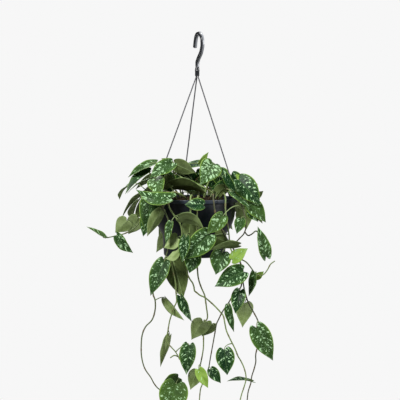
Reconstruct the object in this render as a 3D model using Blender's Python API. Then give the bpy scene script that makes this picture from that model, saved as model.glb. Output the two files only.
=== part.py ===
"""Satin pothos in a hanging pot: a plastic bowl of soil on a hook with three strands, full of leafy vines.

Metres, +Z up. The origin is where the hook bears on what it hangs from, and the front is towards -Y.
Every vine is one grown piece: its stem, leaf stalks and heart-shaped blades are fused into one solid.
"""

import math
import random

import bpy
from mathutils import Matrix, Vector
from mathutils.bvhtree import BVHTree

MM = 0.001

# Pot and soil
POT_AXIS_X = -9 * MM
RIM_TOP_Z = -325 * MM
RIM_RADIUS = 84 * MM
RIM_BAND_DEPTH = 7 * MM
BOWL_RADIUS = 81.6 * MM
BOWL_STRAIGHT = 22 * MM
BOWL_ARC = 78.4 * MM
FOOT_TOP_DEPTH = 72 * MM
FOOT_RADIUS = 61.5 * MM
FOOT_CORNER = 5 * MM
FOOT_RECESS = 3 * MM
POT_HEIGHT = 117 * MM
POT_WALL = 1.8 * MM
POT_SIDES = 40
SOIL_EDGE_DEPTH = 7 * MM
SOIL_DOME = 8 * MM
GAP = 0.3 * MM

# Hook: an arch that narrows to a neck and ends in a hub for the strands
HOOK_TURN = math.radians(-66)
HOOK_HALF_WIDTH = 17 * MM
HOOK_ARCH_HEIGHT = 20 * MM
HOOK_DEPTH = 6.6 * MM
HOOK_FLANGE = 6.4 * MM
HOOK_FLANGE_THICKNESS = 1.6 * MM
HOOK_WEB = 2 * MM
HUB_CENTRE = Vector((-3.6 * MM, 0, 0))
HUB_RADIUS = 4.4 * MM
HUB_TOP_Z = -64 * MM
HUB_BOTTOM_Z = -82 * MM

# Strands: three wires from the hub to clips under the rim band
STRAND_RADIUS = 1.05 * MM
STRAND_SOCKET_DEPTH = 8 * MM
STRAND_SOCKET_RING = 2.4 * MM
STRAND_ANGLES = {
    "strand_right": math.radians(-9),
    "strand_back": math.radians(107),
    "strand_left": math.radians(191),
}
CLIP_WIDTH = 6 * MM
CLIP_THICKNESS = 2 * MM
CLIP_RISE = 5 * MM
CLIP_REACH = 1.6 * MM

# Stems, stalks and blades
STEM_RADIUS = 1.7 * MM
STEM_TIP_RADIUS = 1.1 * MM
STEM_SIDES = 5
STEM_STEP = 13 * MM
HOLE_DEPTH = 20 * MM
STALK_RADIUS = 1.05 * MM
STALK_END_RADIUS = 0.75 * MM
STALK_SIDES = 3
STALK_STEPS = 3
BLADE_THICKNESS = 0.8 * MM
BLADE_CLEARANCE = 1.3 * MM
LOBE_REACH = 0.12
BLADE_ROWS = (0.0, 0.18, 0.42, 0.7)
HALF_WIDTHS = ((0, 0.55), (0.12, 0.85), (0.3, 1.0), (0.5, 0.88), (0.7, 0.58), (0.87, 0.24), (1, 0))
SLIDE_STEP = 3 * MM
SLIDE_STEPS = 18

# The layout is drawn as the front shows it from a little above, across and down from the hook
VIEW_TILT = math.radians(4)
VIEW_DISTANCE = 6.0
VIEW_CENTRE = (2 * MM, 329 * MM)

# Each stem leaves the soil at a hole, given across and away from the hook, and then follows
# its points: across, down and out towards the front, in millimetres
VINES = {
    "vine_over": {
        "hole": (26, -34),
        "stems": [[(28, 316, 50), (14, 306, 52), (-2, 298, 48), (-27, 288, 38), (-51, 274, 22)]],
    },
    "vine_left_crown": {
        "hole": (-38, 8),
        "stems": [[(-52, 303, -4), (-70, 290, 0), (-88, 282, 4), (-102, 272, 8), (-108, 262, 10)]],
    },
    "vine_middle_crown": {
        "hole": (10, -8),
        "stems": [[(14, 306, 8), (20, 292, 10), (26, 278, 12), (28, 264, 12)]],
    },
    "vine_inner_crown": {
        "hole": (-14, 20),
        "stems": [[(-14, 306, -22), (-10, 294, -24), (-2, 284, -26), (8, 276, -26)]],
    },
    "vine_right_crown": {
        "hole": (34, -4),
        "stems": [
            [(44, 312, 18), (54, 307, 24), (66, 311, 28), (78, 319, 32), (90, 329, 36), (100, 339, 38)]
        ],
    },
    "vine_far_left": {
        "hole": (-52, -10),
        "stems": [
            [
                (-66, 314, 12), (-84, 311, 12), (-100, 322, 8), (-108, 340, 2), (-114, 362, 0),
                (-126, 382, 2), (-146, 395, 6), (-164, 400, 10), (-182, 404, 12), (-192, 404, 12),
            ]
        ],
    },
    "vine_loop": {
        "hole": (-44, -36),
        "stems": [
            [
                (-54, 316, 52), (-66, 314, 64), (-76, 328, 72), (-73, 345, 76), (-64, 362, 80),
                (-58, 385, 78), (-58, 410, 74), (-66, 441, 70), (-78, 461, 66), (-90, 493, 60),
                (-92, 517, 58), (-88, 530, 58), (-88, 549, 58), (-94, 569, 57), (-107, 583, 56),
                (-114, 600, 55), (-116, 622, 55), (-115, 645, 56), (-109, 667, 58), (-97, 685, 60),
                (-90, 698, 62), (-80, 709, 64), (-64, 714, 66), (-50, 706, 70),
            ]
        ],
    },
    "vine_olive": {
        "hole": (-24, -44),
        "stems": [
            [
                (-36, 318, 62), (-52, 313, 72), (-62, 326, 80), (-59, 345, 87), (-48, 362, 92),
                (-37, 378, 94), (-34, 402, 92), (-42, 428, 88), (-53, 449, 82), (-53, 468, 77),
                (-48, 489, 74), (-46, 515, 72), (-45, 533, 71), (-52, 547, 70), (-55, 558, 70),
                (-59, 572, 70), (-62, 589, 70), (-65, 608, 70), (-63, 616, 70), (-55, 625, 71),
                (-47, 634, 72), (-42, 643, 74), (-39, 649, 76),
            ],
            [(-42, 643, 74), (-50, 641, 76), (-58, 646, 78)],
        ],
    },
    "vine_thin": {
        "hole": (2, -46),
        "stems": [
            [
                (0, 322, 66), (-2, 321, 80), (-3, 330, 92), (-4, 352, 93), (-4, 385, 92),
                (-4, 420, 90), (-4, 450, 84), (-3, 470, 76), (-1, 487, 70), (4, 503, 66),
                (11, 519, 65), (13, 530, 65), (15, 545, 65), (17, 560, 65), (16, 568, 66),
                (11, 574, 69), (9, 586, 71), (9, 602, 72), (9, 622, 72), (8, 632, 72),
                (6, 644, 72), (3, 659, 73), (1, 671, 75), (4, 686, 77), (7, 697, 77),
                (3, 709, 77), (1, 729, 76), (0, 748, 75), (3, 768, 75),
            ]
        ],
    },
    "vine_cross": {
        "hole": (-12, -28),
        "stems": [
            [
                (-14, 321, 60), (-16, 320, 78), (-17, 328, 91), (-17, 352, 92), (-18, 385, 90),
                (-22, 420, 86), (-24, 452, 80), (-24, 474, 73), (-18, 488, 67), (-13, 495, 63),
                (-10, 504, 60), (-9, 511, 58), (-4, 515, 57), (2, 520, 56), (11, 524, 55),
                (20, 531, 54), (32, 542, 54), (44, 555, 54), (49, 562, 55), (52, 577, 57),
                (55, 591, 58), (62, 607, 60), (72, 627, 63), (78, 642, 66), (84, 652, 68),
                (90, 665, 70), (94, 680, 71), (94, 692, 70), (90, 706, 70), (86, 718, 70),
                (83, 730, 70), (80, 748, 70), (82, 772, 70),
            ]
        ],
    },
    "vine_fork": {
        "hole": (24, -46),
        "stems": [
            [
                (27, 320, 66), (28, 318, 78), (29, 328, 90), (31, 345, 92), (34, 360, 93),
                (44, 385, 93), (58, 410, 92), (72, 432, 90), (82, 452, 88), (86, 470, 84),
                (87, 485, 80), (84, 503, 78), (78, 510, 77), (68, 521, 76), (58, 537, 75),
                (47, 553, 74), (39, 569, 74), (35, 578, 74), (32, 595, 74), (27, 623, 74),
                (23, 645, 74), (20, 663, 74), (17, 672, 74),
            ],
            [
                (87, 485, 80), (91, 509, 79), (96, 527, 77), (101, 539, 76), (110, 555, 75),
                (118, 571, 74), (121, 586, 72), (120, 612, 70), (114, 638, 70), (114, 653, 70),
                (111, 667, 70), (106, 683, 70), (104, 697, 70), (99, 713, 70), (97, 729, 70),
                (95, 750, 70), (98, 776, 70),
            ],
        ],
    },
    "vine_tendril": {
        "hole": (40, -24),
        "stems": [
            [
                (46, 320, 46), (50, 316, 62), (53, 326, 77), (53, 348, 82), (56, 372, 84),
                (60, 398, 84), (62, 422, 82), (70, 438, 82), (83, 447, 82), (94, 453, 82),
                (103, 463, 81), (110, 473, 80), (118, 479, 78), (128, 479, 77), (137, 469, 76),
                (143, 458, 76), (152, 451, 76),
            ]
        ],
    },
    "vine_right": {
        "hole": (44, -8),
        "stems": [
            [
                (54, 314, 22), (66, 314, 36), (78, 324, 46), (86, 342, 50), (92, 364, 52),
                (94, 382, 53), (90, 396, 54), (82, 405, 56), (74, 413, 58), (64, 421, 60),
            ],
            [
                (91, 392, 54), (98, 400, 56), (106, 397, 58), (114, 391, 58), (121, 398, 54),
                (127, 416, 50), (132, 434, 50),
            ],
        ],
    },
}

# Blades: where the base and the tip lie (across, down, out), the width in millimetres, the turn
# of the upper side away from the viewer and the fold along the midrib in degrees, and the arch
# as a share of the length
BLADES = {
    "vine_over": [
        (-48, 257, -8, -8, 275, 4, 30, 180, 0, 0.05),
        (-54, 258, -18, -75, 246, -22, 18, 150, 0, 0.0),
        (-54, 285, 14, -76, 311, 20, 30, 150, 0, 0.1),
        (-48, 300, 20, 20, 321, 62, 48, -118, 0, 0.12),
        (-54, 255, 34, -98, 285, 52, 36, 35, 5, 0.05),
    ],
    "vine_left_crown": [
        (-86, 255, 10, -142, 284, 26, 36, 68, 10, 0.05),
        (-98, 273, 22, -148, 317, 38, 34, 60, 35, 0.06),
        (-88, 287, 34, -76, 325, 80, 36, 0, 0, 0.12),
    ],
    "vine_middle_crown": [
        (28, 257, 22, 2, 299, 74, 46, 0, 5, 0.08),
        (-18, 259, 2, 44, 266, 14, 42, -70, 0, 0.1),
        (2, 257, -16, 19, 233, -22, 15, 40, 0, 0.0),
        (44, 267, 16, 54, 295, 32, 26, -50, 0, 0.05),
    ],
    "vine_inner_crown": [
        (8, 266, -24, 38, 306, -34, 46, 0, 0, 0.05),
        (-32, 272, -26, -8, 312, -36, 42, 0, 0, 0.05),
        (64, 280, -16, 86, 318, -26, 38, 0, 0, 0.05),
        (-66, 278, -42, -52, 316, -52, 36, 10, 0, 0.05),
        (-36, 297, -44, 14, 305, -50, 26, 20, 0, 0.05),
        (62, 298, -40, 24, 307, -46, 26, 0, 0, 0.05),
        (38, 272, -46, 60, 304, -52, 36, 0, 0, 0.05),
    ],
    "vine_right_crown": [
        (80, 289, 34, 123, 339, 52, 46, -12, 6, 0.06),
        (54, 281, 22, 76, 313, 34, 28, 50, 0, 0.05),
        (66, 313, 42, 102, 347, 52, 30, -60, 0, 0.04),
        (98, 303, 14, 73, 276, 4, 20, 0, 0, 0.0),
        (112, 324, 18, 129, 311, 12, 14, 160, 0, 0.0),
        (36, 314, 30, 60, 300, 34, 26, 180, 0, 0.0),
        (100, 332, 40, 134, 374, 46, 34, -20, 5, 0.05),
    ],
    "vine_far_left": [
        (-96, 322, 30, -108, 395, 46, 44, -12, 6, 0.04),
        (-122, 365, -6, -142, 397, -34, 35, 180, 0, 0.05),
        (-144, 371, 8, -168, 394, -14, 34, 180, 0, 0.05),
        (-164, 401, 20, -132, 435, 40, 30, 35, 8, 0.05),
        (-190, 404, 12, -225, 382, 0, 18, 60, 40, 0.0),
        (-98, 352, 4, -112, 402, -6, 32, 20, 0, 0.05),
    ],
    "vine_loop": [
        (-57, 327, 84, -126, 308, 66, 42, 50, 6, -0.18),
        (-76, 351, 66, -104, 402, 66, 30, 150, 15, 0.04),
        (-70, 453, 72, -97, 521, 82, 38, 20, 6, 0.04),
        (-66, 527, 66, -30, 571, 72, 34, 150, 58, 0.0),
        (-46, 699, 84, -66, 766, 98, 58, 0, 5, 0.04),
        (-42, 686, 74, -74, 700, 68, 42, -38, 0, 0.1),
    ],
    "vine_olive": [
        (-38, 365, 100, 10, 386, 106, 38, -130, 0, 0.16),
        (-56, 375, 98, -66, 417, 98, 26, 55, 10, 0.0),
        (-44, 405, 92, -70, 425, 82, 34, 215, 0, 0.05),
        (-42, 434, 92, -67, 447, 82, 26, 230, 0, 0.1),
        (-52, 449, 86, -32, 527, 96, 47, 180, 8, 0.06),
        (-36, 523, 80, -15, 573, 84, 32, 50, 10, 0.0),
        (-60, 604, 66, -78, 664, 70, 28, 125, 15, 0.0),
        (-20, 621, 80, -26, 680, 86, 34, 12, 6, 0.06),
        (-37, 643, 78, -32, 621, 80, 10, 20, 20, 0.0),
    ],
    "vine_thin": [
        (8, 339, 102, -29, 338, 98, 27, 25, 5, 0.05),
        (-14, 373, 102, -22, 412, 94, 36, 180, 0, 0.1),
        (20, 398, 106, -31, 449, 116, 46, 0, 6, 0.05),
        (-10, 439, 94, -19, 476, 104, 34, 0, 5, 0.06),
        (8, 573, 86, -16, 609, 52, 37, 180, 0, 0.08),
        (-4, 673, 86, -18, 710, 66, 29, 180, 0, 0.08),
        (0, 670, 92, 18, 707, 100, 23, 0, 6, 0.05),
        (2, 760, 80, 24, 801, 90, 31, 0, 8, 0.05),
    ],
    "vine_cross": [
        (-26, 404, 98, -34, 454, 100, 26, 30, 8, 0.0),
        (51, 630, 80, 57, 681, 88, 38, 0, 5, 0.05),
        (106, 693, 58, 56, 693, 70, 30, 82, 0, 0.08),
        (80, 768, 74, 58, 808, 84, 33, 10, 8, 0.06),
    ],
    "vine_fork": [
        (88, 472, 88, 31, 502, 98, 42, 15, 5, 0.05),
        (60, 542, 80, 70, 594, 86, 29, 55, 10, 0.0),
        (26, 578, 82, 6, 603, 66, 26, 180, 10, 0.05),
        (24, 669, 78, 44, 697, 86, 23, 0, 10, 0.04),
        (82, 511, 86, 72, 557, 96, 29, 10, 6, 0.06),
        (92, 536, 74, 88, 585, 40, 36, 180, 0, 0.1),
        (116, 585, 80, 148, 652, 88, 42, 0, 5, 0.05),
        (98, 774, 74, 120, 806, 84, 28, -10, 8, 0.05),
    ],
    "vine_tendril": [
        (78, 419, 96, 22, 429, 100, 34, 120, 0, 0.06),
        (67, 448, 102, 98, 426, 110, 27, -20, 0, 0.04),
        (46, 435, 94, 34, 479, 110, 42, 0, 5, 0.06),
        (32, 403, 84, 58, 415, 80, 38, 180, 0, 0.05),
        (112, 476, 84, 99, 522, 82, 24, 42, 30, -0.1),
        (114, 485, 82, 130, 472, 88, 15, 0, 20, 0.0),
    ],
    "vine_right": [
        (48, 361, 100, 16, 398, 110, 31, 0, 8, 0.05),
        (106, 341, 34, 118, 373, 62, 33, 20, 0, 0.05),
        (88, 349, 34, 96, 388, 24, 34, 180, 0, 0.05),
        (84, 367, 68, 76, 397, 86, 23, 0, 5, 0.05),
        (134, 442, 56, 117, 382, 60, 31, 35, 10, 0.0),
    ],
}

# The vines round the back follow one rule, with seeded variation: direction in degrees from
# +X, how far below the rim they reach, and how many blades they bear
BACK_SEED = 7
BACK_VINES = (
    (35, 8 * MM, 5),
    (58, 30 * MM, 6),
    (78, 100 * MM, 8),
    (98, 84 * MM, 8),
    (129, 14 * MM, 7),
    (160, 24 * MM, 6),
)
BACK_HOLE_RADIUS = 40 * MM
BACK_HANG_RADIUS = 96 * MM
BACK_CROWN_RISE = 16 * MM
BACK_STANDS_OUT = 8 * MM


def clear_scene():
    for existing in list(bpy.data.objects):
        bpy.data.objects.remove(existing, do_unlink=True)


def plastic(name, colour, roughness, metallic=0.0):
    material = bpy.data.materials.new(name)
    material.use_nodes = True
    shader = material.node_tree.nodes["Principled BSDF"]
    shader.inputs["Base Color"].default_value = (*colour, 1)
    shader.inputs["Roughness"].default_value = roughness
    shader.inputs["Metallic"].default_value = metallic
    return material


def mesh_object(name, points, faces, material=None):
    mesh = bpy.data.meshes.new(name)
    mesh.from_pydata([tuple(point) for point in points], [], faces)
    if material:
        mesh.materials.append(material)
    made = bpy.data.objects.new(name, mesh)
    bpy.context.scene.collection.objects.link(made)
    return made


def combine(target, pieces, operation, solver="EXACT"):
    """Joins or cuts every piece into the target with one applied Boolean, and removes the pieces."""
    group = bpy.data.collections.new(target.name + "_pieces")
    bpy.context.scene.collection.children.link(group)
    for piece in pieces:
        bpy.context.scene.collection.objects.unlink(piece)
        group.objects.link(piece)
    modifier = target.modifiers.new("Combine", "BOOLEAN")
    modifier.operation = operation
    modifier.operand_type = "COLLECTION"
    modifier.collection = group
    modifier.solver = solver
    graph = bpy.context.evaluated_depsgraph_get()
    result = bpy.data.meshes.new_from_object(target.evaluated_get(graph))
    target.modifiers.remove(modifier)
    target.data = result
    for piece in pieces:
        bpy.data.objects.remove(piece, do_unlink=True)
    bpy.data.collections.remove(group)


def front(across, down, out):
    """The point that the front shows this far across and down from the hook, in millimetres."""
    reach = 1 - out * MM / VIEW_DISTANCE
    x = VIEW_CENTRE[0] + (across * MM - VIEW_CENTRE[0]) * reach
    drop = VIEW_CENTRE[1] + (down * MM - VIEW_CENTRE[1]) * reach
    z = -drop / math.cos(VIEW_TILT) + out * MM * math.tan(VIEW_TILT)
    return Vector((x, -out * MM, z))


def turned(profile, sides):
    """A closed solid of revolution about the pot's axis, from (radius, height) points, pole to pole."""
    points, rings = [], []
    for radius, height in profile:
        count = 1 if radius == 0 else sides
        rings.append(range(len(points), len(points) + count))
        for k in range(count):
            angle = 2 * math.pi * k / sides
            points.append(
                (POT_AXIS_X + radius * math.cos(angle), radius * math.sin(angle), RIM_TOP_Z + height)
            )
    faces = []
    for upper, lower in zip(rings, rings[1:]):
        for k in range(sides):
            after = (k + 1) % sides
            if len(upper) == 1:
                faces.append((upper[0], lower[k], lower[after]))
            elif len(lower) == 1:
                faces.append((upper[k], lower[0], upper[after]))
            else:
                faces.append((upper[k], lower[k], lower[after], upper[after]))
    return points, faces


def bowl_arc(inset, steps, upwards=False):
    """Points down the rounded side of the bowl, this far inside its outer face."""
    centre = BOWL_RADIUS - BOWL_ARC
    arc = BOWL_ARC - inset
    end = math.asin((FOOT_TOP_DEPTH - BOWL_STRAIGHT) / arc)
    found = []
    for k in range(steps + 1):
        angle = end * k / steps
        found.append((centre + arc * math.cos(angle), -BOWL_STRAIGHT - arc * math.sin(angle)))
    return found[::-1] if upwards else found


def make_pot():
    """The pot: rim band, bowl and foot outside, and the same shape one wall in."""
    inside = BOWL_RADIUS - POT_WALL
    corner = [
        (
            FOOT_RADIUS - FOOT_CORNER * (1 - math.cos(angle)),
            -POT_HEIGHT + FOOT_CORNER * (1 - math.sin(angle)),
        )
        for angle in (0, math.pi / 4, math.pi / 2)
    ]
    recess = FOOT_RADIUS - 3 * FOOT_CORNER
    floor = -POT_HEIGHT + FOOT_RECESS + POT_WALL
    profile = [
        (0, floor),
        (FOOT_RADIUS - POT_WALL, floor),
        *bowl_arc(POT_WALL, 4, upwards=True),
        (inside, -1 * MM),
        (inside + 1 * MM, 0),
        (RIM_RADIUS - 1.2 * MM, 0),
        (RIM_RADIUS, -1.2 * MM),
        (RIM_RADIUS, -RIM_BAND_DEPTH),
        (BOWL_RADIUS, -RIM_BAND_DEPTH),
        *bowl_arc(0, 6),
        *corner,
        (recess + FOOT_RECESS, -POT_HEIGHT),
        (recess, -POT_HEIGHT + FOOT_RECESS),
        (0, -POT_HEIGHT + FOOT_RECESS),
    ]
    points, faces = turned(profile, POT_SIDES)
    made = mesh_object("pot", points, faces, plastic("pot", (0.022, 0.028, 0.045), 0.34))
    made.data.shade_smooth()
    made.data.set_sharp_from_angle(angle=math.radians(35))


def soil_height(radius):
    """Height of the soil above the rim's top plane at this radius."""
    share = radius / (BOWL_RADIUS - POT_WALL)
    return -SOIL_EDGE_DEPTH + SOIL_DOME * (1 - share * share)


def make_soil(holes):
    """The soil fills the pot, domed a little, with a plain blind hole for each stem."""
    inset = POT_WALL + GAP
    edge = BOWL_RADIUS - inset
    bottom = -POT_HEIGHT + FOOT_RECESS + POT_WALL + GAP
    profile = [
        *((edge * share, soil_height(edge * share)) for share in (0, 0.4, 0.75, 1)),
        *bowl_arc(inset, 4),
        (FOOT_RADIUS - inset, bottom),
        (0, bottom),
    ]
    points, faces = turned(profile, POT_SIDES)
    soil = mesh_object("soil", points, faces, plastic("soil", (0.055, 0.03, 0.017), 0.95))
    cutters = []
    for hole in holes:
        top = stem_foot(hole) + Vector((0, 0, 2 * HOLE_DEPTH))
        low = stem_foot(hole) - Vector((0, 0, GAP))
        points, faces = tube([low, top], [hole_radius()] * 2, 6)
        cutters.append(mesh_object("hole", points, faces))
    combine(soil, cutters, "DIFFERENCE")


def hole_radius():
    """A hexagon this size clears the stem's own corners by the gap."""
    return (STEM_RADIUS + GAP) / math.cos(math.pi / 6)


def stem_foot(hole):
    """The lowest point of a stem, at the bottom of its hole in the soil."""
    x, y = hole
    radius = math.hypot(x - POT_AXIS_X, y)
    return Vector((x, y, RIM_TOP_Z + soil_height(radius) - HOLE_DEPTH))


def stem_mouth(foot):
    """Where a stem stands clear of the soil, straight above its foot."""
    return foot + Vector((0, 0, HOLE_DEPTH + 2 * MM))


def frames_along(route, side=None):
    """The direction, side and top at each point of a route, turning as little as it can."""
    directions = []
    for k in range(len(route)):
        ahead = route[min(k + 1, len(route) - 1)] - route[max(k - 1, 0)]
        directions.append(ahead.normalized())
    side = side or directions[0].cross(Vector((0, 1, 0.3)))
    frames = []
    for direction in directions:
        side = (side - direction * side.dot(direction)).normalized()
        frames.append((direction, side, direction.cross(side)))
    return frames


def tube(route, radii, sides):
    """A closed tube along the route, with a radius at each of its points."""
    points, faces = [], []
    for centre, radius, (_, side, top) in zip(route, radii, frames_along(route)):
        for k in range(sides):
            angle = 2 * math.pi * k / sides
            points.append(centre + side * (radius * math.cos(angle)) + top * (radius * math.sin(angle)))
    for ring in range(len(route) - 1):
        for k in range(sides):
            a = ring * sides + k
            b = ring * sides + (k + 1) % sides
            faces.append((a, b, b + sides, a + sides))
    last = (len(route) - 1) * sides
    faces.append(tuple(range(sides))[::-1])
    faces.append(tuple(range(last, last + sides)))
    return points, faces


def smooth(knots, step):
    """A Catmull-Rom curve through the knots, at points about one step apart."""
    ends = [2 * knots[0] - knots[1], *knots, 2 * knots[-1] - knots[-2]]
    route = []
    for before, start, end, after in zip(ends, ends[1:], ends[2:], ends[3:]):
        count = max(1, round((end - start).length / step))
        for k in range(count):
            t = k / count
            route.append(
                0.5
                * (
                    2 * start
                    + (end - before) * t
                    + (2 * before - 5 * start + 4 * end - after) * t**2
                    + (3 * start - before - 3 * end + after) * t**3
                )
            )
    route.append(knots[-1].copy())
    return route


def hook_route():
    """The middle line of the hook, in its own plane: tip, arch, neck and shank down to the hub."""
    top = HOOK_DEPTH / 2
    knots = [Vector((-HOOK_HALF_WIDTH * 1.18, 0, -26 * MM))]
    for angle in (165, 140, 115, 90, 65, 40, 15, -10):
        turn = math.radians(angle)
        knots.append(
            Vector(
                (
                    HOOK_HALF_WIDTH * math.cos(turn),
                    0,
                    top - HOOK_ARCH_HEIGHT * (1 - math.sin(turn)),
                )
            )
        )
    knots += [Vector((x * MM, 0, z * MM)) for x, z in ((11, -34), (0, -45), (-8, -55), (-8, -63))]
    turn = Matrix.Rotation(HOOK_TURN, 3, "Z")
    route = [turn @ knot for knot in smooth(knots, 6 * MM)]
    shank = Vector((HUB_CENTRE.x, HUB_CENTRE.y, HUB_TOP_Z - 8 * MM))
    return route, shank


def i_section():
    """Half widths of the hook's section, round its outline: two flanges and the web between them."""
    wide, deep = HOOK_FLANGE / 2, HOOK_DEPTH / 2
    web, flange = HOOK_WEB / 2, deep - HOOK_FLANGE_THICKNESS
    quarter = [(wide, flange), (wide, deep)]
    outline = [(web, flange), *quarter]
    outline += [(-x, y) for x, y in reversed(outline)]
    return outline + [(-x, -y) for x, y in outline]


def make_hook():
    """The hook: its I-section swept along the arch and neck, and the round hub with three sockets."""
    route, shank = hook_route()
    route.append(shank)
    plane = Matrix.Rotation(HOOK_TURN, 3, "Z") @ Vector((0, 1, 0))
    section = i_section()
    points, faces = [], []
    for k, centre in enumerate(route):
        ahead = route[min(k + 1, len(route) - 1)] - route[max(k - 1, 0)]
        across = ahead.cross(plane).normalized()
        points += [centre + plane * x + across * y for x, y in section]
    count = len(section)
    for ring in range(len(route) - 1):
        for k in range(count):
            a = ring * count + k
            b = ring * count + (k + 1) % count
            faces.append((a, b, b + count, a + count))
    faces.append(tuple(range(count))[::-1])
    faces.append(tuple(range(len(points) - count, len(points))))
    hook = mesh_object("hook", points, faces, plastic("hook", (0.028, 0.03, 0.034), 0.38))
    flip_if_inside_out(hook)
    rings = ((HUB_TOP_Z, 0.72), (HUB_TOP_Z - 4 * MM, 1), (HUB_BOTTOM_Z + 1 * MM, 1), (HUB_BOTTOM_Z, 0.85))
    hub_route = [Vector((HUB_CENTRE.x, HUB_CENTRE.y, z)) for z, _ in rings]
    hub_points, hub_faces = tube(hub_route, [HUB_RADIUS * share for _, share in rings], 16)
    hub = mesh_object("hub", hub_points, hub_faces)
    flip_if_inside_out(hub)
    combine(hook, [hub], "UNION")
    sockets = []
    for angle in STRAND_ANGLES.values():
        low = socket_mouth(angle) - Vector((0, 0, 4 * MM))
        top = socket_mouth(angle) + Vector((0, 0, STRAND_SOCKET_DEPTH + GAP))
        socket_radius = (STRAND_RADIUS + GAP) / math.cos(math.pi / 8)
        socket_points, socket_faces = tube([low, top], [socket_radius] * 2, 8)
        sockets.append(mesh_object("socket", socket_points, socket_faces))
    combine(hook, sockets, "DIFFERENCE")


def flip_if_inside_out(made):
    """Turns every face round if the mesh's volume comes out negative."""
    volume = 0.0
    made.data.calc_loop_triangles()
    for triangle in made.data.loop_triangles:
        a, b, c = (made.data.vertices[k].co for k in triangle.vertices)
        volume += a.dot(b.cross(c))
    if volume < 0:
        made.data.flip_normals()


def socket_mouth(angle):
    """Where a strand leaves the hub's underside."""
    ring = STRAND_SOCKET_RING
    return Vector(
        (HUB_CENTRE.x + ring * math.cos(angle), HUB_CENTRE.y + ring * math.sin(angle), HUB_BOTTOM_Z)
    )


def make_strand(name, angle):
    """A strand: its wire from the socket to the rim, and the clip that reaches under the band."""
    outward = Vector((math.cos(angle), math.sin(angle), 0))
    tangent = Vector((-math.sin(angle), math.cos(angle), 0))
    rim = Vector((POT_AXIS_X, 0, RIM_TOP_Z)) + outward * (RIM_RADIUS + GAP + CLIP_THICKNESS / 2)
    mouth = socket_mouth(angle)
    foot = rim + Vector((0, 0, CLIP_RISE / 2))
    bend = mouth - Vector((0, 0, 3 * MM))
    knots = [mouth + Vector((0, 0, STRAND_SOCKET_DEPTH)), mouth, bend]
    knots += [bend.lerp(foot, share) for share in (0.08, 0.3, 0.65, 1)]
    wire_points, wire_faces = tube(knots, [STRAND_RADIUS] * len(knots), 7)
    material = plastic(name, (0.3, 0.31, 0.33), 0.42)
    wire = mesh_object(name, wire_points, wire_faces, material)
    inner = RIM_RADIUS + GAP
    outer = inner + CLIP_THICKNESS
    reach = RIM_RADIUS - CLIP_REACH
    under = -RIM_BAND_DEPTH - GAP
    low = under - CLIP_THICKNESS
    outline = [(inner, CLIP_RISE), (inner, under), (reach, under)]
    outline += [(reach, low), (outer, low), (outer, CLIP_RISE)]
    points = []
    for side in (-CLIP_WIDTH / 2, CLIP_WIDTH / 2):
        for radius, height in outline:
            place = Vector((POT_AXIS_X, 0, RIM_TOP_Z + height)) + outward * radius + tangent * side
            points.append(place)
    count = len(outline)
    faces = [tuple(range(count)), tuple(range(count, 2 * count))[::-1]]
    faces += [(k, k + count, (k + 1) % count + count, (k + 1) % count) for k in range(count)]
    clip = mesh_object("clip", points, faces)
    flip_if_inside_out(wire)
    flip_if_inside_out(clip)
    combine(wire, [clip], "UNION")


def share_between(table, value):
    """Straight-line reading of a table of (place, amount) pairs."""
    for (low, first), (high, last) in zip(table, table[1:]):
        if value <= high:
            return first + (last - first) * (value - low) / (high - low)
    return table[-1][1]


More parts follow.
